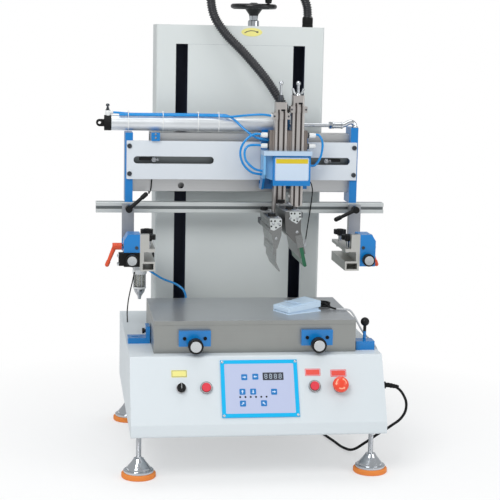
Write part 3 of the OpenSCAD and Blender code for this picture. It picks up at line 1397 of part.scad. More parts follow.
base_cabinet();
foot_studs();
foot_pads();
column_shell();
column_front_cover();
lift_guides();
table_brackets();
control_panel();
filter_body();
filter_bowl();
supply_tube();
hose_upper();
pedal_base();
side_sockets();
pedal_cable();
mains_cable();
mains_coil();
selector_knob();
start_button();
stop_button();
emergency_stop();
pedal_treadle();
handwheel();
crank_grip();
stop_nut();
worktable();
left_table_knob();
right_table_knob();
head_block();
head_beam();
front_plate();
end_posts();
clamp_rail();
linear_guides();
stroke_rod();
carriage_bracket();
carriage_cover();
lift_cylinders();
stroke_cylinder();
carriage_tubes();
hose_lower();
squeegee_lift();
squeegee_holder();
squeegee_blade();
flood_lift();
flood_holder();
left_clamp_arm();
right_clamp_arm();
left_channel();
right_channel();
left_arm_lever();
right_arm_lever();
left_orange_lever();
right_orange_lever();
left_clamp_knob();
right_clamp_knob();
left_front_screw();
left_rear_screw();
right_front_screw();
right_rear_screw();
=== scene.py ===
"""Desktop flat screen printer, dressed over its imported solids.

Sizes inside the classes are millimetres in the machine's own frame: the origin is the centre
of the footprint on the bench, +X to the operator's right, +Y to the back, +Z up.
"""

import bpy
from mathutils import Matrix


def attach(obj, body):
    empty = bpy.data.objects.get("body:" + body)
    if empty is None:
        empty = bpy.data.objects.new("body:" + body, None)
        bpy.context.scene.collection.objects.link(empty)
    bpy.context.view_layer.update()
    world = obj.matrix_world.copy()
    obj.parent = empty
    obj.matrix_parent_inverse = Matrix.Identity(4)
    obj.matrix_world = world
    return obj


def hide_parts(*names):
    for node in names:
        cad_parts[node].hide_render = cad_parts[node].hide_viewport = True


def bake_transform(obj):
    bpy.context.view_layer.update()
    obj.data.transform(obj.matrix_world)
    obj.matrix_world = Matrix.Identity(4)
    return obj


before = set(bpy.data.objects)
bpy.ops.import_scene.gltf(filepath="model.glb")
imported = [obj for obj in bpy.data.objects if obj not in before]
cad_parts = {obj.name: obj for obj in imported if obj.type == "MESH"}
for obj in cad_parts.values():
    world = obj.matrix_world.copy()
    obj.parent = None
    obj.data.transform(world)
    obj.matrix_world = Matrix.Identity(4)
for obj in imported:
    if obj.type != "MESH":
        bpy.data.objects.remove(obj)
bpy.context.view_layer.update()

import logging
import math
from dataclasses import dataclass, field
from enum import Enum
from functools import cache
from typing import Callable, Iterable, Sequence

import bmesh
import bpy
import numpy as np
from mathutils import Matrix, Vector

logging.basicConfig(level=logging.INFO, format="%(message)s")
log = logging.getLogger("printer")

Colour = tuple[float, float, float]
Point = tuple[float, float, float]
Outline = Sequence[tuple[float, float]]
MM = 0.001
UP, FRONT, BACK, RIGHT = (0, 0, 1), (0, -1, 0), (0, 1, 0), (1, 0, 0)
SIDES = (-1, 1)
CORNERS = ((-1, -1), (-1, 1), (1, -1), (1, 1))


def paint(red: int, green: int, blue: int) -> Colour:
    """Turn a colour as a screen shows it into the linear values that shaders take.

    Args:
        red: Red, 0 to 255.
        green: Green, 0 to 255.
        blue: Blue, 0 to 255.

    Returns:
        The three linear values.
    """
    return tuple(
        v / 12.92 if v <= 0.04045 else ((v + 0.055) / 1.055) ** 2.4
        for v in (red / 255, green / 255, blue / 255)
    )


def math_node(operation: str, swapped: bool = False) -> Callable[..., "Value"]:
    """Make a method of Value that adds one Math node.

    Args:
        operation: Blender's name for the operation.
        swapped: Whether the value itself is the second input.

    Returns:
        The method.
    """
    def method(self: "Value", other: object = None) -> "Value":
        """Add the node and return its result."""
        given = [self] if other is None else [other, self] if swapped else [self, other]
        return self.bench.value("ShaderNodeMath", dict(enumerate(given)), operation=operation)
    return method


class Value:
    """A number that a shader works out, with arithmetic that adds its nodes."""

    def __init__(self, bench: "ShaderBench", socket: bpy.types.NodeSocket) -> None:
        """Keep the socket and the bench whose tree it belongs to."""
        self.bench = bench
        self.socket = socket

    __add__ = __radd__ = math_node("ADD")
    __mul__ = __rmul__ = math_node("MULTIPLY")
    __sub__ = math_node("SUBTRACT")
    __rsub__ = math_node("SUBTRACT", swapped=True)
    __pow__ = math_node("POWER")
    __gt__ = math_node("GREATER_THAN")
    __lt__ = math_node("LESS_THAN")
    __abs__ = math_node("ABSOLUTE")
    larger = math_node("MAXIMUM")
    smaller = math_node("MINIMUM")

    def past(self, limit: float, gain: float) -> "Value":
        """0 up to a limit, from there rising by the gain, and 1 at most."""
        return ((self - limit).larger(0.0) * gain).smaller(1.0)


class ShaderBench:
    """The node tree of a material or a world, and the few ways to add nodes to it."""

    def __init__(self, owner: bpy.types.ID) -> None:
        """Start with the empty tree of a new material or world."""
        self.owner = owner
        owner.use_nodes = True
        self.tree = owner.node_tree
        self.tree.nodes.clear()
        self._place: tuple[Value, Value, Value] | None = None

    def node(self, kind: str, inputs: dict | None = None, **settings: str) -> bpy.types.Node:
        """Add a node.

        Args:
            kind: Blender's name for the node type.
            inputs: Values or links by socket name or number.
            settings: Its attributes, which are set before the sockets.

        Returns:
            The node.
        """
        made = self.tree.nodes.new(kind)
        for key, setting in settings.items():
            setattr(made, key, setting)
        for key, given in (inputs or {}).items():
            socket = made.inputs[key]
            if isinstance(given, Value):
                given = given.socket
            if isinstance(given, bpy.types.NodeSocket):
                self.tree.links.new(given, socket)
            elif isinstance(given, tuple) and socket.type == "RGBA":
                socket.default_value = (*given, 1.0)
            else:
                socket.default_value = given
        return made

    def value(self, kind: str, inputs: dict, **settings: str) -> Value:
        """Add a node and return its first output as a value."""
        return Value(self, self.node(kind, inputs, **settings).outputs[0])

    def place(self) -> tuple[Value, Value, Value]:
        """Millimetres along X, Y and Z in the machine's frame, as values."""
        if self._place is None:
            at = self.node("ShaderNodeTexCoord").outputs["Object"]
            parts = self.node("ShaderNodeSeparateXYZ", {0: at})
            self._place = tuple(Value(self, parts.outputs[k]) * 1000.0 for k in range(3))
        return self._place

    def noise(self, cells: float | Point, detail: float = 3.0, rough: float = 0.55) -> Value:
        """Noise with a number of cells per metre, the same or one for each axis.

        Args:
            cells: The number, or one each for X, Y and Z.
            detail: How many finer layers it has.
            rough: How strong the finer layers are.

        Returns:
            The noise, from 0 to 1.
        """
        at = self.node("ShaderNodeTexCoord").outputs["Object"]
        stretch = cells if isinstance(cells, tuple) else (cells,) * 3
        scaled = self.node("ShaderNodeVectorMath", {0: at, 1: stretch}, operation="MULTIPLY")
        return self.value("ShaderNodeTexNoise", {"Vector": scaled.outputs[0], "Scale": 1.0,
                                                 "Detail": detail, "Roughness": rough})

    def blend(self, factor: object, first: object, second: object) -> bpy.types.NodeSocket:
        """Mix two colours by a factor from 0, the first, to 1, the second."""
        made = self.node("ShaderNodeMix", {0: factor, 6: first, 7: second}, data_type="RGBA")
        return made.outputs[2]

    def bump(self, height: object, depth_mm: float, strength: float) -> bpy.types.NodeSocket:
        """Bump from a height of 0 to 1 that stands for the given depth."""
        return self.node("ShaderNodeBump", {"Height": height, "Distance": depth_mm * MM,
                                            "Strength": strength}).outputs[0]

    def surface(self, **sockets: object) -> bpy.types.NodeSocket:
        """A Principled surface; underscores in names stand for spaces."""
        return self.node("ShaderNodeBsdfPrincipled", {
            key.replace("_", " "): given for key, given in sockets.items()}).outputs[0]

    def mixed(self, factor: object, first: object, second: object) -> bpy.types.NodeSocket:
        """Mix two shaders by a factor from 0, the first, to 1, the second."""
        return self.node("ShaderNodeMixShader", {0: factor, 1: first, 2: second}).outputs[0]

    def finish(self, shader: bpy.types.NodeSocket, output: str = "ShaderNodeOutputMaterial"
               ) -> bpy.types.ID:
        """Send a shader to the output and return the material or world."""
        self.node(output, {0: shader})
        return self.owner


Mask = Callable[[Value, Value, Value], Value]


class Grain(Enum):
    """The direction in which a metal face was rubbed or drawn."""

    ALONG_X = (4.0, 900.0, 900.0)
    ALONG_Y = (900.0, 4.0, 900.0)
    ALONG_Z = (900.0, 900.0, 4.0)
    CAST = (260.0, 260.0, 260.0)


@dataclass(frozen=True)
class Finish:
    """What a surface is made of; each kind below has a shader of its own."""

    name: str
    colour: Colour = (0.0, 0.0, 0.0)

    def tone(self, factor: float, lift: float = 0.0) -> Colour:
        """Its colour, darker or lighter."""
        return tuple(min(1.0, c * factor + lift) for c in self.colour)

    def shader(self, bench: ShaderBench) -> bpy.types.NodeSocket:
        """The surface's nodes."""
        raise NotImplementedError

    @cache
    def material(self) -> bpy.types.Material:
        """The material of this finish, made once."""
        bench = ShaderBench(bpy.data.materials.new(self.name))
        return bench.finish(self.shader(bench))


@dataclass(frozen=True)
class PaintedSheet(Finish):
    """Baked paint on metal: a fine orange-peel, a slight mottle and a few rub marks."""

    rough: float = 0.36
    peel_mm: float = 0.03
    coat: float = 0.0

    def shader(self, bench: ShaderBench) -> bpy.types.NodeSocket:
        """Paint with its peel, mottle and rub marks."""
        mottle = bench.noise(7.0, 4.0)
        peel = bench.noise(420.0, 2.0)
        marks = bench.noise((60.0, 9.0, 190.0), 6.0, 0.7).past(0.64, 4.0)
        tone = bench.blend(mottle, self.tone(0.965), self.tone(1.02))
        return bench.surface(
            Base_Color=bench.blend(marks * 0.25, tone, self.tone(0.9, 0.02)),
            Roughness=mottle * 0.06 + marks * 0.12 + self.rough,
            Specular_IOR_Level=0.45, Coat_Weight=self.coat, Coat_Roughness=0.12,
            Normal=bench.bump(peel, self.peel_mm, 0.35))


@dataclass(frozen=True)
class BareMetal(Finish):
    """Machined, ground or drawn metal with its tool marks."""

    rough: float = 0.32
    grain: Grain = Grain.ALONG_X
    marks: float = 0.5
    metallic: float = 1.0

    def shader(self, bench: ShaderBench) -> bpy.types.NodeSocket:
        """Metal whose tone and gloss follow its grain."""
        lines = bench.noise(self.grain.value, 4.0, 0.65)
        cloud = bench.noise(14.0, 4.0)
        stain = cloud.past(0.52, 3.0)
        mix = lines * self.marks + cloud * (1.0 - self.marks)
        return bench.surface(
            Base_Color=bench.blend(mix, self.tone(0.8), self.tone(1.12)),
            Metallic=self.metallic, Roughness=lines * 0.16 + stain * 0.07 + (self.rough - 0.08),
            Normal=bench.bump(lines, 0.02, 0.25 * self.marks + 0.05))


@dataclass(frozen=True)
class Plating(Finish):
    """Bright chrome or nickel plate with faint handling marks."""

    rough: float = 0.1

    def shader(self, bench: ShaderBench) -> bpy.types.NodeSocket:
        """Plate with smudges that dull it here and there."""
        smudge = bench.noise(35.0, 5.0, 0.6)
        dull = smudge.past(0.5, 2.5)
        return bench.surface(Base_Color=bench.blend(dull, self.colour, self.tone(0.88)),
                             Metallic=1.0, Roughness=dull * 0.14 + self.rough,
                             Normal=bench.bump(smudge, 0.01, 0.08))


@dataclass(frozen=True)
class Moulded(Finish):
    """Moulded plastic or rubber: a fine spark grain and a slight dust."""

    rough: float = 0.42
    grain_mm: float = 0.04
    dust: float = 0.15
    coat: float = 0.0
    gloss: float = 0.4

    def shader(self, bench: ShaderBench) -> bpy.types.NodeSocket:
        """Plastic with its grain and dust."""
        grain = bench.noise(1500.0, 2.0)
        film = bench.noise(55.0, 5.0, 0.65).past(0.5, 2.0) * self.dust
        return bench.surface(Base_Color=bench.blend(film, self.colour, self.tone(0.8, 0.03)),
                             Roughness=grain * 0.1 + film * 0.2 + self.rough,
                             Coat_Weight=self.coat, Coat_Roughness=0.08,
                             Specular_IOR_Level=self.gloss,
                             Normal=bench.bump(grain, self.grain_mm, 0.3))


@dataclass(frozen=True)
class ClearPlastic(Finish):
    """Clear polycarbonate, slightly smoky, with faint moulding swirls."""

    rough: float = 0.08

    def shader(self, bench: ShaderBench) -> bpy.types.NodeSocket:
        """See-through plastic."""
        swirl = bench.noise((60.0, 60.0, 25.0), 4.0)
        return bench.surface(Base_Color=bench.blend(swirl, self.colour, self.tone(1.1)),
                             Roughness=swirl * 0.1 + self.rough, IOR=1.5,
                             Transmission_Weight=0.82, Alpha=swirl * 0.1 + 0.85,
                             Normal=bench.bump(swirl, 0.05, 0.2))


@dataclass(frozen=True)
class DisplayWindow(Finish):
    """The unlit window over a display."""

    rough: float = 0.15

    def shader(self, bench: ShaderBench) -> bpy.types.NodeSocket:
        """Glossy dark film with a faint cloud."""
        cloud = bench.noise(200.0)
        return bench.surface(Base_Color=bench.blend(cloud, self.tone(0.9), self.colour),
                             Roughness=cloud * 0.05 + self.rough)


@dataclass(frozen=True)
class StudioFloor(Finish):
    """A pale floor that keeps the machine's shadow and fades to white away from it."""

    fade_from: float = 420.0
    fade_over: float = 700.0
    glow_near: float = 0.45

    def shader(self, bench: ShaderBench) -> bpy.types.NodeSocket:
        """The floor, with an even white light mixed in for the camera only."""
        cloud = bench.noise(1.0)
        floor = bench.surface(Base_Color=bench.blend(cloud, (0.93,) * 3, (0.95,) * 3),
                              Roughness=0.9)
        glow = bench.node("ShaderNodeEmission", {0: (1.0, 1.0, 1.0), 1: 1.0}).outputs[0]
        x, y, _ = bench.place()
        far = ((x * x + y * y) ** 0.5).past(self.fade_from, 1.0 / self.fade_over)
        seen = bench.node("ShaderNodeLightPath").outputs["Is Camera Ray"]
        return bench.mixed((far * (1.0 - self.glow_near) + self.glow_near) * seen, floor,
                           glow)


@dataclass(frozen=True)
class Split(Finish):
    """Two finishes on one piece: the second where the mask of X, Y and Z is 1."""

    first: Finish = None
    second: Finish = None
    where: Mask = None

    def shader(self, bench: ShaderBench) -> bpy.types.NodeSocket:
        """Both finishes through a Mix Shader."""
        return bench.mixed(self.where(*bench.place()), self.first.shader(bench),
                           self.second.shader(bench))


def split(name: str, first: Finish, second: Finish, where: Mask) -> Split:
    """Name a finish that turns from the first to the second where the mask is 1.

    Args:
        name: The material's name.
        first: The finish where the mask is 0.
        second: The finish where the mask is 1.
        where: The mask, from X, Y and Z in millimetres.

    Returns:
        The finish.
    """
    return Split(name, first=first, second=second, where=where)


CABINET_WHITE = PaintedSheet("cabinet_white", paint(213, 220, 224), peel_mm=0.04)
COLUMN_GREY = PaintedSheet("column_grey", paint(212, 217, 216), rough=0.4, peel_mm=0.04)
PLATE_WHITE = PaintedSheet("plate_white", paint(216, 222, 228), rough=0.3, peel_mm=0.02)
MACHINE_BLUE = PaintedSheet("machine_blue", paint(4, 122, 196), rough=0.26, peel_mm=0.02,
                            coat=0.35)
COVER_BLUE = PaintedSheet("cover_blue", paint(6, 127, 202), rough=0.26, peel_mm=0.02,
                          coat=0.35)
SHELF_PALE = PaintedSheet("shelf_pale", paint(184, 206, 228), rough=0.3, peel_mm=0.02)
PALE_BLUE = PaintedSheet("pale_blue", paint(120, 180, 226), rough=0.3, peel_mm=0.02)
# Painted shade: a dark navy for the shade inside the column and behind its slots.
SLOT_PAINTED_SHADE = PaintedSheet("slot_painted_shade", paint(84, 92, 118), rough=0.45)
PEDAL_GREY = PaintedSheet("pedal_grey", paint(208, 230, 250), rough=0.3, peel_mm=0.03,
                          coat=0.2)
TABLE_STEEL = BareMetal("table_steel", paint(164, 165, 162), rough=0.4)
TABLE_TOP = BareMetal("table_top_steel", paint(188, 191, 194), rough=0.3, marks=0.6,
                      metallic=0.7)
GUIDE_STEEL = BareMetal("guide_steel", paint(186, 188, 190), rough=0.24, marks=0.7)
BEAM_METAL = BareMetal("beam_metal", paint(208, 208, 208), rough=0.38, marks=0.8)
RAIL_METAL = BareMetal("rail_metal", paint(216, 220, 219), rough=0.36, metallic=0.8)
CYLINDER_METAL = BareMetal("cylinder_metal", paint(206, 200, 196), rough=0.32,
                           grain=Grain.ALONG_Z, marks=0.6, metallic=0.85)
# Painted shade: a dark grey for the shade inside the cylinders' long slots.
GROOVE_SHADE_METAL = BareMetal("groove_shade_metal", paint(92, 84, 82), rough=0.4, grain=Grain.ALONG_Z)
# Painted shade: a darker grey for the shade in recesses, behind the plate's slot and in the rail's
# groove.
RECESS_SHADE_METAL = BareMetal("recess_shade_metal", paint(132, 137, 138), rough=0.42)
HEAD_METAL = BareMetal("head_metal", paint(122, 122, 121), rough=0.3, grain=Grain.ALONG_Y,
                       marks=0.7)
BEZEL_METAL = BareMetal("bezel_metal", paint(214, 214, 216), rough=0.32, metallic=0.6)
VALVE_METAL = BareMetal("valve_metal", paint(158, 148, 142), rough=0.34,
                        grain=Grain.ALONG_Z, marks=0.8)
BARREL_METAL = BareMetal("barrel_metal", paint(228, 231, 234), rough=0.38, marks=0.4,
                         metallic=0.75)
TUBE_METAL = BareMetal("tube_metal", paint(205, 208, 210), rough=0.2, marks=0.6)
CAST_METAL = BareMetal("cast_metal", paint(196, 198, 200), rough=0.36, grain=Grain.CAST,
                       metallic=0.9)
BLADE_METAL = BareMetal("blade_metal", paint(146, 147, 146), rough=0.28,
                        grain=Grain.ALONG_Y, marks=0.7)
CHANNEL_METAL = BareMetal("channel_metal", paint(204, 203, 198), rough=0.34,
                          grain=Grain.ALONG_Y, marks=0.6, metallic=0.9)
ARM_METAL = BareMetal("arm_metal", paint(176, 178, 182), rough=0.42, grain=Grain.ALONG_Z,
                      metallic=0.85)
BLOCK_METAL = BareMetal("block_metal", paint(110, 114, 120), rough=0.45, grain=Grain.CAST)
BRONZE = BareMetal("bronze", paint(176, 142, 86), rough=0.32)
CHROME = Plating("chrome", paint(205, 208, 212), rough=0.1)
ZINC = Plating("zinc", paint(182, 184, 188), rough=0.24)
DARK_STEEL = BareMetal("dark_steel", paint(84, 87, 92), rough=0.4, grain=Grain.CAST)
BLACK_PLASTIC = Moulded("black_plastic", paint(15, 15, 16), rough=0.4, dust=0.08, gloss=0.28)
SOFT_BLACK = Moulded("soft_black", paint(14, 14, 15), rough=0.55, grain_mm=0.06, dust=0.08,
                     gloss=0.25)
SIGNAL_RED = Moulded("signal_red", paint(222, 62, 76), rough=0.22, dust=0.05, coat=0.3)
MUSHROOM_RED = Moulded("mushroom_red", paint(235, 72, 44), rough=0.25, dust=0.05, coat=0.3)
LEVER_ORANGE = Moulded("lever_orange", paint(226, 86, 50), rough=0.4)
PAD_ORANGE = Moulded("pad_orange", paint(235, 138, 62), rough=0.6, grain_mm=0.08)
BLADE_GREEN = Moulded("blade_green", paint(24, 92, 62), rough=0.3, coat=0.25)
HOSE_BLACK = Moulded("hose_black", paint(30, 31, 36), rough=0.26, dust=0.08, gloss=0.6)
CORD_BLACK = Moulded("cord_black", paint(14, 14, 15), rough=0.5, grain_mm=0.05, dust=0.08,
                     gloss=0.25)
CORD_GREY = Moulded("cord_grey", paint(196, 198, 200), rough=0.5, grain_mm=0.05)
AIR_BLUE = Moulded("air_blue", paint(10, 140, 214), rough=0.22, grain_mm=0.01, dust=0.05,
                   coat=0.4)
FITTING_WHITE = Moulded("fitting_white", paint(226, 228, 228), rough=0.35)
FILM_LILAC = Moulded("film_lilac", paint(186, 194, 222), rough=0.3, grain_mm=0.02, dust=0.08)
FILM_CYAN = Moulded("film_cyan", paint(0, 178, 232), rough=0.28, grain_mm=0.02, dust=0.05)
KEY_BLUE = Moulded("key_blue", paint(28, 120, 190), rough=0.3, grain_mm=0.02, dust=0.05)
LABEL_YELLOW = Moulded("label_yellow", paint(236, 228, 140), rough=0.4, grain_mm=0.01)
LABEL_GOLD = Moulded("label_gold", paint(222, 196, 40), rough=0.4, grain_mm=0.01)
LABEL_RED = Moulded("label_red", paint(232, 84, 72), rough=0.4, grain_mm=0.01)
LABEL_PALE = Moulded("label_pale", paint(206, 222, 240), rough=0.35, grain_mm=0.01)
PRINT_DARK = Moulded("print_dark", paint(40, 44, 70), rough=0.4, grain_mm=0.01)
WHEEL_BLACK = Moulded("wheel_black", paint(16, 16, 18), rough=0.2, dust=0.05, gloss=0.5)
ARROW_PALE = Moulded("arrow_pale", paint(252, 172, 140), rough=0.35, dust=0.03)
WHITE_PLASTIC = Moulded("white_plastic", paint(240, 240, 238), rough=0.35, dust=0.03)
BOWL_CLEAR = ClearPlastic("bowl_clear", paint(205, 206, 200))
WINDOW_DARK = DisplayWindow("window_dark", paint(66, 68, 78))


def placed(at: Point, up: Point = UP, spin: float = 0.0) -> Matrix:
    """A local frame whose Z runs along the given direction.

    Args:
        at: Its origin, in millimetres.
        up: Where its Z points.
        spin: Turn about that Z, in degrees.

    Returns:
        The matrix, in millimetres.
    """
    turn = Vector(up).to_track_quat("Z", "Y").to_matrix().to_4x4()
    return Matrix.Translation(Vector(at)) @ turn @ Matrix.Rotation(math.radians(spin), 4, "Z")


def smooth_route(points: Sequence[Point], steps: int) -> np.ndarray:
    """A smooth path through all the points, with a number of steps between each two.

    Args:
        points: The points, in millimetres.
        steps: Steps between each two.

    Returns:
        The path, one row for each of its points.
    """
    p = np.array(points, float)
    out: list[np.ndarray] = []
    for i in range(len(p) - 1):
        a, b, c, d = p[max(i - 1, 0)], p[i], p[i + 1], p[min(i + 2, len(p) - 1)]
        for k in range(steps):
            t = k / steps
            out.append(0.5 * (2 * b + (c - a) * t + (2 * a - 5 * b + 4 * c - d) * t * t
                              + (3 * b - a - 3 * c + d) * t ** 3))
    out.append(p[-1])
    return np.array(out)


def walked(path: np.ndarray) -> np.ndarray:
    """How far along a path each of its points lies."""
    return np.concatenate([[0.0], np.cumsum(np.linalg.norm(np.diff(path, axis=0), axis=1))])


def even_route(path: np.ndarray, pitch: float) -> np.ndarray:
    """The same path with its points an even pitch apart."""
    run = walked(path)
    stops = np.linspace(0.0, run[-1], max(2, int(round(run[-1] / pitch)) + 1))
    return np.stack([np.interp(stops, run, path[:, k]) for k in range(3)], axis=1)


def circle(radius: float, steps: int) -> list[tuple[float, float]]:
    """Evenly spread points of a circle about 0."""
    turns = (2 * math.pi * k / steps for k in range(steps))
    return [(radius * math.cos(a), radius * math.sin(a)) for a in turns]


def rounded_oblong(width: float, height: float, corner: float, steps: int = 5
                   ) -> list[tuple[float, float]]:
    """The outline of an oblong with rounded corners, centred on 0.

    Args:
        width: Its width.
        height: Its height.
        corner: Radius of its corners; 0 leaves them sharp.
        steps: Steps round each corner.

    Returns:
        Its points, anticlockwise.
    """
    if corner <= 0:
        w, h = width / 2, height / 2
        return [(-w, -h), (w, -h), (w, h), (-w, h)]
    out = []
    for k, (sx, sy) in enumerate(((1, 1), (-1, 1), (-1, -1), (1, -1))):
        cx, cy = sx * (width / 2 - corner), sy * (height / 2 - corner)
        for i in range(steps + 1):
            a = math.radians(90 * k + 90 * i / steps)
            out.append((cx + corner * math.cos(a), cy + corner * math.sin(a)))
    return out


class Workpiece:
    """Collects one piece's mesh in the machine's frame, in millimetres."""

    def __init__(self, name: str) -> None:
        """Start an empty piece."""
        self.name = name
        self.bm = bmesh.new()

    def _ring(self, points: Iterable[Vector]) -> list[bmesh.types.BMVert]:
        """Add one vertex per point."""
        return [self.bm.verts.new(p) for p in points]

    def _skin(self, rings: list[list[bmesh.types.BMVert]]) -> None:
        """Close the wall between each two rings; a ring of one vertex is a tip.

        Args:
            rings: The rings, in order along the piece.
        """
        for low, high in zip(rings, rings[1:]):
            steps = max(len(low), len(high))
            for k in range(steps):
                n = (k + 1) % steps
                corners = (low[k % len(low)], low[n % len(low)],
                           high[n % len(high)], high[k % len(high)])
                self.bm.faces.new(list(dict.fromkeys(corners)))

    def turned(self, profile: Outline, at: Matrix, steps: int = 40) -> "Workpiece":
        """Turn a profile of (radius, height) pairs about the frame's Z.

        Args:
            profile: The pairs. A radius of 0 closes an end, one open end gets a flat cap,
                and a profile that is open at both ends is joined up as a ring.
            at: The local frame.
            steps: Sides of the turned piece.

        Returns:
            The piece itself.
        """
        hollow = min(profile[0][0], profile[-1][0]) > 0.0
        rings = [self._ring(at @ Vector((x, y, height))
                            for x, y in circle(radius, steps if radius > 0.0 else 1))
                 for radius, height in profile]
        self._skin(rings + (rings[:1] if hollow else []))
        for ring in (rings[0], rings[-1]):
            if len(ring) > 1 and not hollow:
                self.bm.faces.new(ring)
        return self

    def prism(self, outline: Outline, low: float, high: float, at: Matrix) -> "Workpiece":
        """Raise a flat outline along the frame's Z, from low to high.

        Args:
            outline: Its points.
            low: Height of its lower face.
            high: Height of its upper face.
            at: The local frame.

        Returns:
            The piece itself.
        """
        ends = [self._ring(at @ Vector((x, y, z)) for x, y in outline) for z in (low, high)]
        self._skin(ends)
        for end in ends:
            self.bm.faces.new(end)
        return self

    def plate(self, width: float, height: float, low: float, high: float, at: Matrix,
              corner: float = 0.0) -> "Workpiece":
        """A flat plate centred on the frame, with rounded corners."""
        return self.prism(rounded_oblong(width, height, corner), low, high, at)

    def rim(self, outer: Outline, inner: Outline, low: float, high: float, at: Matrix
            ) -> "Workpiece":
        """A flat frame between two outlines that have the same number of points.

        Args:
            outer: The outer outline.
            inner: The inner outline.
            low: Height of its lower face.
            high: Height of its upper face.
            at: The local frame.

        Returns:
            The piece itself.
        """
        loops = [self._ring(at @ Vector((x, y, z)) for x, y in line)
                 for line, z in ((outer, low), (outer, high), (inner, high), (inner, low))]
        self._skin(loops + loops[:1])
        return self

    def ribbon(self, rows: Sequence[Sequence[Vector]]) -> "Workpiece":
        """A thin printed mark through rows of points that have the same number each.

        Args:
            rows: The rows, in millimetres.

        Returns:
            The piece itself.
        """
        made = [self._ring(row) for row in rows]
        for low, high in zip(made, made[1:]):
            for k in range(len(low) - 1):
                self.bm.faces.new([low[k], low[k + 1], high[k + 1], high[k]])
        return self

    def tube(self, path: np.ndarray, radius: float | Callable[[int], float],
             sides: int = 12, closed: bool = True) -> "Workpiece":
        """Sweep a circle along a path without twist.

        Args:
            path: Its points.
            radius: One radius, or a function of the point's number.
            sides: Sides of the tube.
            closed: Whether the ends are capped.

        Returns:
            The piece itself.
        """
        ahead = np.gradient(path, axis=0)
        ahead /= np.linalg.norm(ahead, axis=1)[:, None]
        side = np.cross(ahead[0], [0, 0, 1] if abs(ahead[0][2]) < 0.9 else [1, 0, 0])
        rings = []
        for i, point in enumerate(path):
            side = side - ahead[i] * (side @ ahead[i])
            side /= np.linalg.norm(side)
            over = np.cross(ahead[i], side)
            r = radius(i) if callable(radius) else radius
            rings.append(self._ring(Vector(point + x * side + y * over)
                                    for x, y in circle(r, sides)))
        self._skin(rings)
        for ring in (rings[0], rings[-1]) if closed else ():
            self.bm.faces.new(ring)
        return self

    def wire(self, points: Sequence[Point]) -> "Workpiece":
        """A thin lead through the points."""
        return self.tube(smooth_route(points, 6), 1.6, 8)

    def air_line(self, points: Sequence[Point]) -> "Workpiece":
        """A 6 mm air tube through the points."""
        return self.tube(smooth_route(points, 10), 3.0, 14)

    def cap_screw(self, at: Matrix, head: float, tall: float) -> "Workpiece":
        """A socket-head cap screw, its head's underside on the frame's plane.

        Args:
            at: The local frame.
            head: Radius of the head.
            tall: Height of the head.

        Returns:
            The piece itself.
        """
        key = head * 0.52
        edge = min(0.6, tall * 0.25)
        return self.turned([(0.0, 0.0), (head, 0.0), (head, tall - edge), (head - edge, tall),
                            (key + 0.2, tall), (key, tall - 0.2), (key * 0.98, tall * 0.45),
                            (0.0, tall * 0.4)], at, 24)

    def pan_screw(self, at: Matrix, head: float, tall: float) -> "Workpiece":
        """A domed screw with a round recess."""
        return self.turned([(0.0, 0.0), (head, 0.0), (head * 0.97, tall * 0.45),
                            (head * 0.75, tall * 0.85), (head * 0.42, tall),
                            (head * 0.34, tall * 0.35), (0.0, tall * 0.3)], at, 24)

    def hex_nut(self, at: Matrix, across: float, tall: float, bore: float) -> "Workpiece":
        """A chamfered hexagon nut round a stud.

        Args:
            at: The local frame.
            across: Width across the flats.
            tall: Its height.
            bore: Radius of its bore.

        Returns:
            The piece itself.
        """
        r = across / math.sqrt(3)
        return self.turned([(bore, tall), (r * 0.88, tall), (r, tall - 1.0), (r, 1.0),
                            (r * 0.88, 0.0), (bore, 0.0)], at, 6)

    def finish(self, finish: Finish, body: str, slot: str | None = None,
               crease: float = 35.0) -> bpy.types.Object:
        """Make the object, dress it and let it ride on its body.

        Args:
            finish: Its finish.
            body: The body that it moves with.
            slot: The record's material slot that it stands for; it is not used.
            crease: Angle over which an edge stays sharp, in degrees.

        Returns:
            The object.
        """
        made = self.shape(finish, crease)
        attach(made, body)
        log.info("piece %s: %d faces, rides on %s", self.name, len(made.data.polygons), body)
        return made

    def shape(self, finish: Finish, crease: float = 35.0) -> bpy.types.Object:
        """Make the object with its finish, riding on nothing yet.

        Args:
            finish: Its finish.
            crease: Angle over which an edge stays sharp, in degrees.

        Returns:
            The object.
        """
        bmesh.ops.recalc_face_normals(self.bm, faces=self.bm.faces)
        self.bm.transform(Matrix.Scale(MM, 4))
        mesh = bpy.data.meshes.new(self.name)
        self.bm.to_mesh(mesh)
        self.bm.free()
        mesh.polygons.foreach_set("use_smooth", [True] * len(mesh.polygons))
        mesh.set_sharp_from_angle(angle=math.radians(crease))
        mesh.materials.append(finish.material())
        made = bpy.data.objects.new(self.name, mesh)
        bpy.context.collection.objects.link(made)
        return made


def dress(**finishes: Finish) -> None:
    """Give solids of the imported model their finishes, by their names.

    Args:
        finishes: The finishes by node name.
    """
    for node, finish in finishes.items():
        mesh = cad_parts[node].data
        mesh.materials.clear()
        mesh.materials.append(finish.material())
        log.info("solid %s: %s", node, finish.name)


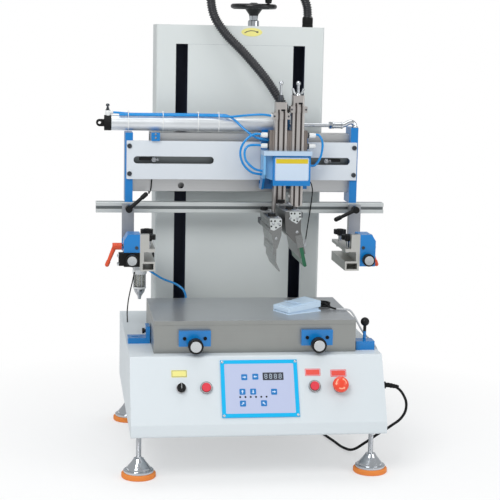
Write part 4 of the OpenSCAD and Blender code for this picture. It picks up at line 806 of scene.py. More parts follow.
@dataclass
class Studio:
    """The camera at the photograph's angle, the soft light and the pale floor."""

    eye: Point = (-0.4711, -3.4587, 1.0527)
    heading: float = 7.93
    dip: float = 8.72
    lean: float = 0.0204
    lens: float = 98.42
    floor_size: float = 12000.0
    floor_deep: float = 20.0

    def camera(self) -> None:
        """Set up the camera."""
        yaw, pitch = math.radians(self.heading), math.radians(self.dip)
        ahead = Vector((math.sin(yaw) * math.cos(pitch), math.cos(yaw) * math.cos(pitch),
                        -math.sin(pitch)))
        level = Vector((math.cos(yaw), -math.sin(yaw), 0.0))
        above = level.cross(ahead)
        right = (level + self.lean * above).normalized()
        up = (above - self.lean * level).normalized()
        data = bpy.data.cameras.new("studio_camera")
        data.lens = self.lens
        data.sensor_width = 36.0
        data.clip_end = 50.0
        made = bpy.data.objects.new("studio_camera", data)
        turn = Matrix((right, up, -ahead)).transposed().to_4x4()
        made.matrix_world = Matrix.Translation(Vector(self.eye)) @ turn
        bpy.context.collection.objects.link(made)
        bpy.context.scene.camera = made

    def lights(self) -> None:
        """Hang the soft boxes: place and aim in metres, width and height, and watts."""
        for name, at, aim, size, power in (
                ("key_box", (-1.6, -2.6, 2.9), (0, 0, 0.6), (1.8, 1.6), 62.0),
                ("fill_box", (2.6, -2.0, 1.6), (0, 0, 0.5), (1.6, 2.0), 22.0),
                ("top_box", (0.0, 0.4, 3.2), (0, 0, 0.5), (2.2, 2.2), 26.0)):
            data = bpy.data.lights.new(name, "AREA")
            data.shape = "RECTANGLE"
            data.size, data.size_y = size
            data.energy = power
            made = bpy.data.objects.new(name, data)
            made.location = at
            made.rotation_euler = (Vector(aim) - Vector(at)).to_track_quat("-Z", "Y").to_euler()
            bpy.context.collection.objects.link(made)

    def world(self) -> None:
        """A white backdrop to the eye and through glass, and a soft grey sky as light."""
        bench = ShaderBench(bpy.data.worlds.new("backdrop"))
        path = bench.node("ShaderNodeLightPath").outputs
        seen = Value(bench, path["Is Camera Ray"]).larger(path["Is Transmission Ray"])
        sky = bench.node("ShaderNodeBackground", {0: (0.95, 0.98, 1.0), 1: 0.52})
        white = bench.node("ShaderNodeBackground", {0: (1.0, 1.0, 1.0), 1: 1.0})
        shader = bench.mixed(seen, sky.outputs[0], white.outputs[0])
        bpy.context.scene.world = bench.finish(shader, "ShaderNodeOutputWorld")

    def floor(self) -> None:
        """Lay the floor, its top at the bench's height."""
        piece = Workpiece("studio_floor").plate(self.floor_size, self.floor_size,
                                                -self.floor_deep, 0.0, Matrix.Identity(4))
        piece.shape(StudioFloor("floor_white"))

    def build(self) -> None:
        """Set up everything that isn't part of the machine."""
        bpy.context.scene.view_settings.view_transform = "Standard"
        for step in (self.camera, self.world, self.lights, self.floor):
            step()
        log.info("studio: camera, light and floor are up")


def lead_curve(name: str, points: Sequence[Point], radius: float, finish: Finish
               ) -> bpy.types.Object:
    """A round lead as one smooth open curve through its points, in millimetres.

    Args:
        name: Its name.
        points: The points of its middle line.
        radius: Its radius.
        finish: Its finish.

    Returns:
        The curve object.
    """
    data = bpy.data.curves.new(name, "CURVE")
    data.dimensions = "3D"
    data.bevel_depth = radius * MM
    data.bevel_resolution = 3
    data.resolution_u = 6
    data.use_fill_caps = True
    line = data.splines.new("BEZIER")
    line.bezier_points.add(len(points) - 1)
    for knot, point in zip(line.bezier_points, points):
        knot.co = Vector(point) * MM
        knot.handle_left_type = knot.handle_right_type = "AUTO"
    data.materials.append(finish.material())
    made = bpy.data.objects.new(name, data)
    bpy.context.collection.objects.link(made)
    return made


def route_length(points: Sequence[Point]) -> float:
    """Length of a lead through the points, in metres."""
    return float(walked(smooth_route(points, 12))[-1]) * MM


@dataclass
class Leads:
    """The pedal's cord with its small bundle on the table, and the mains lead."""

    pedal_radius: float = 2.5
    mains_radius: float = 3.5
    coil_at: Point = (170.0, 190.0, 0.5)
    coil_inner: float = 36.5
    coil_outer: float = 43.5
    coil_steps: int = 16
    coil_ease: float = 0.28
    plug_from: float = 50.0
    plug_height: float = 13.0
    bundle_end: float = 224.0
    pedal_route: list[Point] = field(default_factory=lambda: [
        (175.41, -65.03, 380.55), (190, -57.5, 379), (205, -50, 378), (215.5, -38, 377.6),
        (215, -21, 377.6), (202.5, -10, 377.6), (186, -10.5, 377.6), (174.5, -23, 377.6),
        (175, -40, 378.5), (187.5, -51.5, 382), (205, -50, 383.8), (216, -38, 383.2),
        (215, -21, 382.8), (202.5, -10, 382.8), (186, -10.5, 382.8), (174, -23, 382.8),
        (174, -40, 384.5), (184, -53, 388.5), (199, -66, 387), (213, -79, 380),
        (228, -90, 378), (243, -97, 378.6), (255, -101, 377.6), (266, -108, 366),
        (277, -118, 344), (290, -132, 322), (306, -148, 305), (316, -162, 288),
        (318, -177, 264), (318, -185, 240), (318, -185, 200)])
    mains_route: list[Point] = field(default_factory=lambda: [
        (352, -153, 193), (374, -154, 186), (392, -156, 166), (400, -156, 138),
        (391, -155, 110), (364, -152, 86), (330, -146, 62), (300, -134, 36),
        (276, -110, 12), (262, -72, 3.6), (244, 0, 3.6), (226, 80, 3.6), (219, 116, 3.6),
        (201, 141, 3.7)])

    def coil(self) -> list[Point]:
        """The coil's turns: out, in, in, out and out again, each layer on the last.

        Returns:
            The points of its middle line.
        """
        low, middle, high = 3.5, 10.5, 17.5
        turns = [(self.coil_outer, low), (self.coil_inner, low), (self.coil_inner, middle),
                 (self.coil_outer, middle), (self.coil_outer, high), (self.coil_outer, high)]
        out: list[Point] = []
        for k in range(5 * self.coil_steps + 5):
            turn, step = divmod(k, self.coil_steps)
            part = step / self.coil_steps
            r0, z0 = turns[turn]
            r1, z1 = turns[min(turn + 1, len(turns) - 1)]
            ease = max(0.0, (part - 1.0 + self.coil_ease) / self.coil_ease) if turn < 4 else 0.0
            ease = ease * ease * (3 - 2 * ease)
            r, z = r0 + (r1 - r0) * ease, z0 + (z1 - z0) * ease
            a = -math.pi / 2 - 2 * math.pi * part
            out.append((self.coil_at[0] + r * math.cos(a), self.coil_at[1] + r * math.sin(a),
                        self.coil_at[2] + z))
        return out

    def pedal_cord(self) -> None:
        """The cord from the pedal to the cabinet's side, black where it lies bundled."""
        finish = split("pedal_cord_two_tone", CORD_GREY, CORD_BLACK,
                       lambda x, y, z: x < self.bundle_end)
        made = lead_curve("pedal_cord", self.pedal_route, self.pedal_radius, finish)
        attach(made, "frame")
        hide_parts("pedal_cable")
        route_length(self.pedal_route)

    def mains_lead(self) -> None:
        """The mains lead: a loop at the cabinet's side, then its coil and plug."""
        x, y = self.coil_at[0] - 44.0, self.coil_at[1]
        tail = [(x, y + 12.0, 17.4), (x, y + 20.0, 15.8), (x, y + 28.0, 13.9),
                (x, y + 37.0, self.plug_height), (x, y + self.plug_from - 3.0, self.plug_height)]
        points = self.mains_route + self.coil() + tail
        made = lead_curve("mains_lead", points, self.mains_radius, CORD_BLACK)
        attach(made, "frame")
        plug = self.plug(x, y + self.plug_from)
        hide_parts("mains_cable")
        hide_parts("mains_coil")
        route_length(points)

    def plug(self, x: float, y: float) -> bpy.types.Object:
        """A plain two-pin plug with its ribbed relief.

        Args:
            x: Where it lies across the machine.
            y: Where its body starts.

        Returns:
            The plug's body, with its pins as its child.
        """
        body = Workpiece("mains_plug")
        lie = placed((x, y, self.plug_height), BACK)
        body.turned([(0, -24), (3.7, -24), (4.5, -22), (4.0, -19.5), (4.9, -17), (4.3, -14.5),
                     (5.3, -12), (4.7, -9.5), (5.8, -7), (5.2, -4.5), (6.4, -2), (8.0, 0.0),
                     (12.0, 3.0), (12.4, 12.0), (0, 12.0)], lie, 24)
        body.plate(34.0, 24.0, 6.0, 35.5, lie, 6.0)
        pins = Workpiece("plug_pins")
        for side in (-9.5, 9.5):
            pins.turned([(0, 34), (2.4, 34), (2.4, 53.5), (1.6, 55), (0, 55)],
                        placed((x + side, y, self.plug_height), BACK), 16)
        made = body.finish(SOFT_BLACK, "frame", "cord_rubber")
        pins.finish(CHROME, "frame").parent = made
        return made

    def build(self) -> None:
        """Lay both leads and set the sleeves where they leave their sockets."""
        self.pedal_cord()
        self.mains_lead()
        relief = Workpiece("lead_reliefs")
        relief.turned([(0, 0), (6.2, 0), (5.6, 6), (6.4, 8), (5.2, 13), (5.9, 15), (4.7, 20),
                       (5.2, 22), (4.0, 28), (3.6, 28)], placed((351, -153, 193), (1, 0, -0.2)))
        relief.turned([(0, 0), (5.0, 0), (4.4, 6), (4.9, 8), (3.9, 14), (3.2, 21), (2.6, 21)],
                      placed((174.5, -65.5, 380.8), (0.89, 0.45, -0.07)))
        relief.finish(SOFT_BLACK, "frame", "cord_rubber")


@dataclass
class Cabinet:
    """The cabinet's finishes, the threads on its studs and its rear panel's screws."""

    foot_at: tuple[float, float] = (287.0, 255.0)
    stud_radius: float = 6.0
    thread: tuple[float, float] = (50.0, 104.0)
    thread_pitch: float = 1.75
    rear: float = 325.0
    screw_x: tuple[float, ...] = (-290.0, -97.0, 97.0, 290.0)
    screw_z: tuple[float, ...] = (135.0, 275.0)

    def feet(self) -> None:
        """Threads on the four studs."""
        low, high = self.thread
        turns = math.ceil((high - low) / self.thread_pitch)
        rings = [(self.stud_radius + out, low + self.thread_pitch * k + rise)
                 for k in range(turns) for out, rise in ((-0.1, 0.0), (0.35, 0.9))]
        threads = Workpiece("stud_threads")
        for sx, sy in CORNERS:
            threads.turned([(5.0, low), *rings, (5.0, high)],
                           placed((sx * self.foot_at[0], sy * self.foot_at[1], 0)), 24)
        threads.finish(ZINC, "frame", "plated_steel", 50.0)

    def build(self) -> None:
        """Dress the cabinet."""
        dress(base_cabinet=CABINET_WHITE, foot_studs=CHROME, foot_pads=PAD_ORANGE,
              side_sockets=split("socket_metal_and_black", ZINC, SOFT_BLACK,
                                 lambda x, y, z: x > 326.0))
        self.feet()
        screws = Workpiece("cabinet_screws")
        for x in self.screw_x:
            for z in self.screw_z:
                screws.pan_screw(placed((x, self.rear, z), BACK), 4.5, 2.0)
        screws.finish(ZINC, "frame", "plated_steel")


@dataclass
class ControlFace:
    """The sloped face: keypad, selector, push buttons, emergency stop and their labels."""

    front: float = -325.0
    run: float = 82.0
    rise: float = 149.0
    top: float = 295.0
    button_row: float = 80.0
    button_x: tuple[float, float] = (-128.0, 136.0)
    selector_x: float = -188.0
    stop_x: float = 198.0
    panel_middle: float = 2.0
    panel_from: float = 12.0
    panel_size: tuple[float, float] = (188.0, 142.0)
    panel_proud: float = 3.0
    window_at: tuple[float, float] = (35.5, 53.5)
    figure_from: float = -17.5
    figure_pitch: float = 11.6
    lamps_at: tuple[float, float] = (-47.0, 104.0)
    lamp_pitch: float = 12.8
    key_size: float = 14.6
    screw_inset: float = 4.5
    label_height: float = 18.0
    keys: tuple[tuple[float, float, float], ...] = (
        (-35, 55, 0), (-8, 54, 180), (-41, 91, 90), (-15, 91, -90), (36, 92, 0), (-41, 120, 45),
        (10, 120, 135))
    figure_bars: tuple[tuple[float, float, float, float], ...] = (
        (0, 5.2, 4.4, 1.0), (0, 0, 4.4, 1.0), (0, -5.2, 4.4, 1.0), (-2.7, 2.6, 1.0, 3.8),
        (2.7, 2.6, 1.0, 3.8), (-2.7, -2.6, 1.0, 3.8), (2.7, -2.6, 1.0, 3.8))
    dome: tuple[tuple[float, float], ...] = (
        (0.0, 28.0), (6.5, 27.4), (12.5, 26.0), (17.5, 23.0), (19.5, 20.0))

    def spot(self, x: float, down: float, proud: float = 0.0) -> Matrix:
        """The local frame of a point on the face: Z out of it, Y up the slope.

        Args:
            x: Position across the machine.
            down: Distance down the slope from its upper edge.
            proud: Height over the face.

        Returns:
            The frame.
        """
        tilt = math.atan2(self.rise, self.run)
        at = Vector((x, self.front + self.run - down * math.cos(tilt),
                     self.top - down * math.sin(tilt)))
        return (Matrix.Translation(at) @ Matrix.Rotation(tilt, 4, "X")
                @ Matrix.Translation((0, 0, proud)))

    def keypad(self) -> None:
        """The keypad's border, field, keys, arrows, lamps, window and corner screws."""
        width, height = self.panel_size
        middle = self.panel_from + height / 2
        face = self.spot(self.panel_middle, middle, self.panel_proud)
        border, field_film, keys, marks, lamps, window, digits = (
            Workpiece(f"keypad_{part}") for part in
            ("border", "field", "keys", "marks", "lamps", "window", "digits"))
        border.rim(rounded_oblong(width - 1.0, height - 1.0, 3.0),
                   rounded_oblong(width - 19.0, height - 19.0, 2.0), 0.0, 0.35, face)
        field_film.plate(width - 18.6, height - 18.6, 0.0, 0.25, face, 2.0)
        for x, down, turn in self.keys:
            spot = self.spot(x, down, self.panel_proud)
            keys.plate(self.key_size, self.key_size, 0.2, 0.75, spot, 2.2)
            marks.prism([(-4.2, -1.1), (0.6, -1.1), (0.6, -3.2), (4.6, 0.0), (0.6, 3.2),
                         (0.6, 1.1), (-4.2, 1.1)], 0.7, 0.82,
                        spot @ Matrix.Rotation(math.radians(turn), 4, "Z"))
        x, down = self.lamps_at
        for k in range(6):
            lamps.turned([(0, 0.1), (2.5, 0.1), (2.3, 0.6), (0, 0.8)],
                         self.spot(x + self.lamp_pitch * k, down, self.panel_proud), 20)
        x, down = self.window_at
        window.plate(51.0, 19.0, 0.15, 0.5, self.spot(x, down, self.panel_proud), 1.2)
        for k in range(4):
            middle_x = x + self.figure_from + self.figure_pitch * k
            for across, up, wide, tall in self.figure_bars:
                digits.plate(wide, tall, -0.1, 0.05,
                             self.spot(middle_x + across, down - up, self.panel_proud + 0.55))
        for piece, finish in ((border, FILM_CYAN), (field_film, FILM_LILAC), (keys, KEY_BLUE),
                              (marks, LABEL_PALE), (lamps, BLACK_PLASTIC),
                              (window, WINDOW_DARK), (digits, LABEL_PALE)):
            piece.finish(finish, "frame", "panel_film")
        screws = Workpiece("keypad_screws")
        out, up = width / 2 - self.screw_inset, height / 2 - self.screw_inset
        for sx, sy in CORNERS:
            screws.pan_screw(face @ Matrix.Translation((sx * out, -sy * up, 0.3)), 3.4, 2.0)
        screws.finish(CHROME, "frame", "plated_steel")

    def labels(self) -> None:
        """The bare label plates over the buttons, each with a thin printed edge."""
        for name, x, wide, down, finish, edge in (
                ("selector_label", -192.0, 38.0, 43.5, LABEL_YELLOW, PRINT_DARK),
                ("stop_label", 134.0, 38.0, 44.0, LABEL_RED, LABEL_PALE),
                ("emergency_label", 197.5, 39.0, 47.0, LABEL_RED, LABEL_PALE)):
            spot = self.spot(x, down)
            Workpiece(name).plate(wide, self.label_height, 0.0, 0.5, spot, 1.5
                                  ).finish(finish, "frame")
            Workpiece(name + "_edge").rim(
                rounded_oblong(wide - 2.6, self.label_height - 2.6, 1.0),
                rounded_oblong(wide - 4.2, self.label_height - 4.2, 0.8), 0.45, 0.6, spot
            ).finish(edge, "frame")

    def buttons(self) -> None:
        """Bezel rings, the selector's line and the emergency stop's turning arrows."""
        rings = Workpiece("button_bezels")
        for x in self.button_x:
            rings.turned([(11.1, 1.0), (11.2, 5.2), (12.0, 6.3), (13.55, 6.3), (14.85, 4.8),
                          (15.0, 0.0), (13.75, 0.0)], self.spot(x, self.button_row))
        knob = self.spot(self.selector_x, self.button_row)
        rings.turned([(10.2, 1.0), (10.4, 4.2), (12.6, 4.2), (12.9, 0.0), (12.0, 0.0)], knob)
        rings.finish(BEZEL_METAL, "frame", "plated_steel")
        Workpiece("selector_line").plate(
            1.1, 13.0, 16.0, 16.25, knob @ Matrix.Translation((0, 3.0, 0)), 0.5
        ).finish(CORD_GREY, "selector_knob")
        arrows = Workpiece("stop_arrows")
        for turn in (0, 120, 240):
            self.arrow(arrows, self.spot(self.stop_x, self.button_row)
                       @ Matrix.Rotation(math.radians(turn), 4, "Z"))
        arrows.finish(ARROW_PALE, "emergency_stop")

    def arrow(self, piece: Workpiece, at: Matrix, radius: float = 12.4) -> None:
        """One arrow that bends round the emergency stop's dome, just over its skin.

        Args:
            piece: The piece that it belongs to.
            at: The button's local frame.
            radius: Radius of its middle line.
        """
        out, up = zip(*self.dome)
        rows = []
        for turn, half in ((0, 1.5), (14, 1.5), (28, 1.5), (42, 1.5), (56, 1.5), (56.1, 3.4),
                           (66, 1.8), (76, 0.15)):
            c, s = math.cos(math.radians(turn)), math.sin(math.radians(turn))
            rows.append([at @ Vector((r * c, r * s, float(np.interp(r, out, up)) + 0.12))
                         for r in (radius - half, radius, radius + half)])
        piece.ribbon(rows)

    def build(self) -> None:
        """Dress the face."""
        half = self.panel_size[0] / 2 + 0.5
        dress(control_panel=split("panel_and_barrels", SOFT_BLACK, FILM_CYAN,
                                  lambda x, y, z: abs(x - self.panel_middle) < half),
              start_button=SIGNAL_RED, stop_button=SIGNAL_RED, emergency_stop=MUSHROOM_RED,
              selector_knob=BLACK_PLASTIC)
        for step in (self.keypad, self.labels, self.buttons):
            step()


@dataclass
class PrintingTable:
    """The ground steel table with its adjuster blocks, side guides and knobs."""

    front: float = -211.0
    top: float = 375.0
    block_deep: float = 12.0
    knob_x: float = 151.0
    knob_z: float = 320.0
    knob_face: float = 44.4
    screw_z: float = 334.0
    guide_top: float = 339.0
    guide_knob: tuple[float, float] = (-262.3, 312.0)

    def guides(self, x: Value, y: Value, z: Value) -> Value:
        """1 on the side guides' screw, stud and ball knob."""
        return (z > self.guide_top).larger((x < self.guide_knob[0]) * (z > self.guide_knob[1]))

    def build(self) -> None:
        """Dress the table."""
        steel = split("table_top_and_skirt", TABLE_STEEL, TABLE_TOP,
                      lambda x, y, z: z > self.top - 0.1)
        dress(worktable=split("table_and_blocks", steel, MACHINE_BLUE,
                              lambda x, y, z: y < self.front - 0.05),
              table_brackets=split("brackets_and_pins", MACHINE_BLUE, BLACK_PLASTIC,
                                   self.guides))
        screws = Workpiece("adjuster_screws")
        for side in SIDES:
            for dx in (-25.0, 25.0):
                screws.cap_screw(placed((side * self.knob_x + dx, self.front - self.block_deep,
                                         self.screw_z), FRONT), 4.4, 2.6)
        screws.finish(SOFT_BLACK, "table")
        for name, side in (("left", -1), ("right", 1)):
            self.knob(name, side * self.knob_x)

    def knob(self, name: str, x: float) -> None:
        """A knob's silver face and its boss.

        Args:
            name: The side that it is on, left or right.
            x: Its place across the machine.
        """
        body = f"{name}_table_knob"
        dress(**{body: BLACK_PLASTIC})
        Workpiece(f"{name}_knob_face").turned(
            [(0, 0.0), (14.2, 0.0), (14.2, 0.5), (13.4, 1.1), (4.0, 0.9), (0, 0.9)],
            placed((x, self.front - self.knob_face, self.knob_z), FRONT), 48
        ).finish(TUBE_METAL, body, "plated_steel")
        Workpiece(f"{name}_knob_boss").turned(
            [(9.0, 0.4), (14.0, 0.4), (14.0, 5.0), (12.5, 8.5), (9.0, 10.5)],
            placed((x, self.front - self.block_deep, self.knob_z), FRONT)
        ).finish(ARM_METAL, body)


@dataclass
class Column:
    """The slotted column with its lift, handwheel and turning label."""

    front: float = 175.0
    rear: float = 319.0
    half_width: float = 224.0
    foot: float = 295.0
    top: float = 1090.0
    sheet: float = 2.9
    label_at: tuple[float, float] = (28.0, 1074.0)
    wheel_at: tuple[float, float] = (42.0, 247.0)
    hub_over_top: float = 21.0
    shaft_over_top: float = 28.0
    label_radius: float = 28.0

    def inside(self, x: Value, y: Value, z: Value) -> Value:
        """1 on the column's inner faces and the slots' folded edges, which get a painted shade.

        Args:
            x, y, z: The place, in millimetres.

        Returns:
            The mask.
        """
        shell = (y > self.front + self.sheet) * (y < self.rear - self.sheet)
        shell = shell * (abs(x) < self.half_width - self.sheet)
        return shell * (z < self.top - self.sheet) * (z > self.foot + self.sheet)

    def label(self) -> None:
        """The yellow plate with a turning arrow under the handwheel."""
        spot = placed((self.label_at[0], self.front, self.label_at[1]), FRONT)
        r = self.label_radius
        Workpiece("turn_label").turned([(0, 0), (r, 0), (r, 0.5), (0, 0.5)],
                                       spot @ Matrix.Diagonal((1.0, 0.4, 1.0, 1.0)), 64
                                       ).finish(LABEL_YELLOW, "frame")
        rows = []
        for turn, half in ((150, 0.9), (125, 0.9), (100, 0.9), (75, 0.9), (52, 0.9), (51, 3.0),
                           (38, 0.1)):
            c, s = math.cos(math.radians(turn)), math.sin(math.radians(turn))
            rows.append([spot @ Vector((r * c * 1.7, r * s - 9.0, 0.62))
                         for r in (13.0 - half, 13.0 + half)])
        Workpiece("turn_arrow").ribbon(rows).finish(PRINT_DARK, "frame")

    def build(self) -> None:
        """Dress the column."""
        # The inner faces get painted shade, a dark navy in place of the shade inside the shell.
        sheet = split("column_with_painted_inner_shade", COLUMN_GREY, SLOT_PAINTED_SHADE, self.inside)
        dress(column_shell=sheet, column_front_cover=sheet, lift_guides=GUIDE_STEEL,
              stop_nut=BRONZE, crank_grip=BLACK_PLASTIC, head_block=BLOCK_METAL,
              handwheel=split("wheel_and_shaft", CHROME, WHEEL_BLACK,
                              lambda x, y, z: z > self.top + self.shaft_over_top))
        Workpiece("wheel_hub_cone").turned(
            [(5.5, 0.0), (15.5, 14.0), (25.5, 28.0), (27.0, 31.0), (24.0, 32.5), (5.5, 34.0)],
            placed((*self.wheel_at, self.top + self.hub_over_top)), 44).finish(WHEEL_BLACK, "handwheel")
        self.label()


@dataclass
class RibbedHose:
    """The corrugated hose, in two stretches that meet at its apex."""

    radius: float = 12.5
    rib_pitch: float = 6.0
    rib_deep: float = 2.4
    apex: Point = (10.0, 200.0, 1312.0)
    rise_from: Point = (188.0, 246.0, 1140.0)
    fall_to: Point = (104.0, 100.0, 890.0)
    rise: list[Point] = field(default_factory=lambda: [
        (190, 247, 1118), (186, 246, 1150), (166, 243, 1190), (128, 240, 1240),
        (80, 238, 1282), (46, 223, 1303), (22, 208, 1311.4)])
    fall: list[Point] = field(default_factory=lambda: [
        (-2, 192, 1311.4), (-24, 178, 1303), (-46, 166, 1279), (-66, 158, 1240),
        (-84, 152, 1180),
        (-78, 148, 1120), (-47, 142, 1070), (2, 130, 1020), (54, 112, 960),
        (90, 102, 908), (105, 100, 884), (107, 100, 874)])

    def stretch(self, name: str, points: list[Point]) -> bpy.types.Object:
        """One stretch with a ring for each rise and dip of its ribs.

        Args:
            name: Its name.
            points: The points of its middle line.

        Returns:
            The object.
        """
        path = even_route(smooth_route(points, 24), self.rib_pitch / 4)
        dips = (0.0, 0.0, self.rib_deep, self.rib_deep)
        piece = Workpiece(name).tube(path, lambda i: self.radius - dips[i % 4], 24)
        return piece.shape(HOSE_BLACK, 60.0)

    def build(self) -> None:
        """Bend both stretches and set the glands at their ends."""
        up = self.stretch("hose_rise", self.rise + [self.apex])
        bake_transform(up)
        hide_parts("hose_upper")
        down = self.stretch("hose_fall", [self.apex] + self.fall)
        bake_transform(down)
        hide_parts("hose_lower")
        log.info("hose: %d and %d faces", len(up.data.polygons), len(down.data.polygons))
        for name, at, tall, body in (("hose_gland_top", (190, 247, 1090), 27.9, "frame"),
                                     ("hose_gland_low", (107, 100, 864), 9.9, "carriage")):
            Workpiece(name).turned(
                [(0, 0), (14.5, 0), (14.5, tall * 0.3), (13.6, tall * 0.34),
                 (14.4, tall * 0.4), (14.4, tall * 0.86), (13.2, tall), (12.0, tall)],
                placed(at)).finish(SOFT_BLACK, body, "hose_rubber")


@dataclass
class Head:
    """Beam, front plate, posts, rail and guides with their screws and sensors."""

    middle: float = 740.0
    plate_front: float = 92.0
    rail_z: float = 615.0
    rod_at: tuple[float, float] = (115.0, 834.0)
    slot_shade_front: float = 122.0
    groove_rear: float = 97.3
    screw_x: float = 297.0
    screw_z: tuple[float, ...] = (704.0, 776.0)
    stop_x: float = -230.0
    stop_z: tuple[float, ...] = (798.0, 807.0)
    sensor_leads: dict[str, list[Point]] = field(default_factory=lambda: {
        "left_sensor": [(-234, 112, 752), (-233, 108, 716), (-237, 113, 690),
                        (-239, 116, 664), (-243, 134, 648), (-243, 150, 652)],
        "right_sensor": [(222, 104, 744), (222, 106, 722), (224, 110, 706), (231, 113, 694)]})

    def build(self) -> None:
        """Dress the head."""
        # The beam's face behind the plate's slot gets a painted shade, a darker grey.
        dress(head_beam=split("beam_and_painted_slot_shade", BEAM_METAL, RECESS_SHADE_METAL,
                              lambda x, y, z: (y < self.slot_shade_front)
                              * (abs(z - self.middle) < 28.0)),
              front_plate=PLATE_WHITE, end_posts=MACHINE_BLUE,
              # The rail's groove gets a painted shade, a darker grey inside it.
              clamp_rail=split("rail_and_groove_shade", RAIL_METAL, RECESS_SHADE_METAL,
                               lambda x, y, z: (y > self.groove_rear)
                               * (abs(z - self.rail_z) < 4.1)),
              linear_guides=GUIDE_STEEL, stroke_rod=CHROME)
        screws = Workpiece("plate_screws")
        for side in SIDES:
            for z in self.screw_z:
                screws.cap_screw(placed((side * self.screw_x, self.plate_front, z), FRONT),
                                 6.2, 3.4)
        screws.finish(DARK_STEEL, "head", "plated_steel")
        stop = Workpiece("stop_screws")
        for z in self.stop_z:
            stop.cap_screw(placed((self.stop_x, self.plate_front - 8.0, z), FRONT), 2.6, 2.0)
        stop.finish(ZINC, "head", "plated_steel")
        self.sensors()
        self.rod_end()

    def sensors(self) -> None:
        """The two stroke sensors in the plate's slots with their leads."""
        for name, route in self.sensor_leads.items():
            x = route[0][0]
            at = placed((x, self.plate_front - 0.5, self.middle + 1.0), FRONT)
            nut = Workpiece(name).hex_nut(at, 12.0, 4.0, 3.0)
            nut.turned([(0, 0), (3.4, 0), (3.4, 7.0), (2.6, 8.0), (0, 8.0)], at, 20)
            nut.cap_screw(at @ Matrix.Translation((9.5, 0, 0)), 3.2, 4.0)
            nut.finish(ZINC, "head")
            Workpiece(name + "_shell").plate(
                34.0, 8.0, -5.0, 2.4, at @ Matrix.Translation((math.copysign(21.0, x), 2.0, 0)),
                2.0).finish(SOFT_BLACK, "head")
            Workpiece(name + "_lead").wire(route).finish(CORD_BLACK, "head")

    def rod_end(self) -> None:
        """The rod's end: lock nut, the sleeve's collars and the elbow's collar."""
        end = Workpiece("rod_collars")
        end.hex_nut(placed((231.5, *self.rod_at), RIGHT), 18.0, 7.0, 5.1)
        for x in (240.0, 263.0):
            end.turned([(8.0, 0), (9.0, 0.6), (9.0, 4.0), (8.0, 4.6)],
                       placed((x, *self.rod_at), RIGHT), 32)
        end.turned([(6.6, 0), (9.2, 0), (9.2, 1.4), (7.6, 3.0), (6.6, 3.0)],
                   placed((301, 115, 829.1)), 32)
        end.finish(CHROME, "head", "plated_steel")


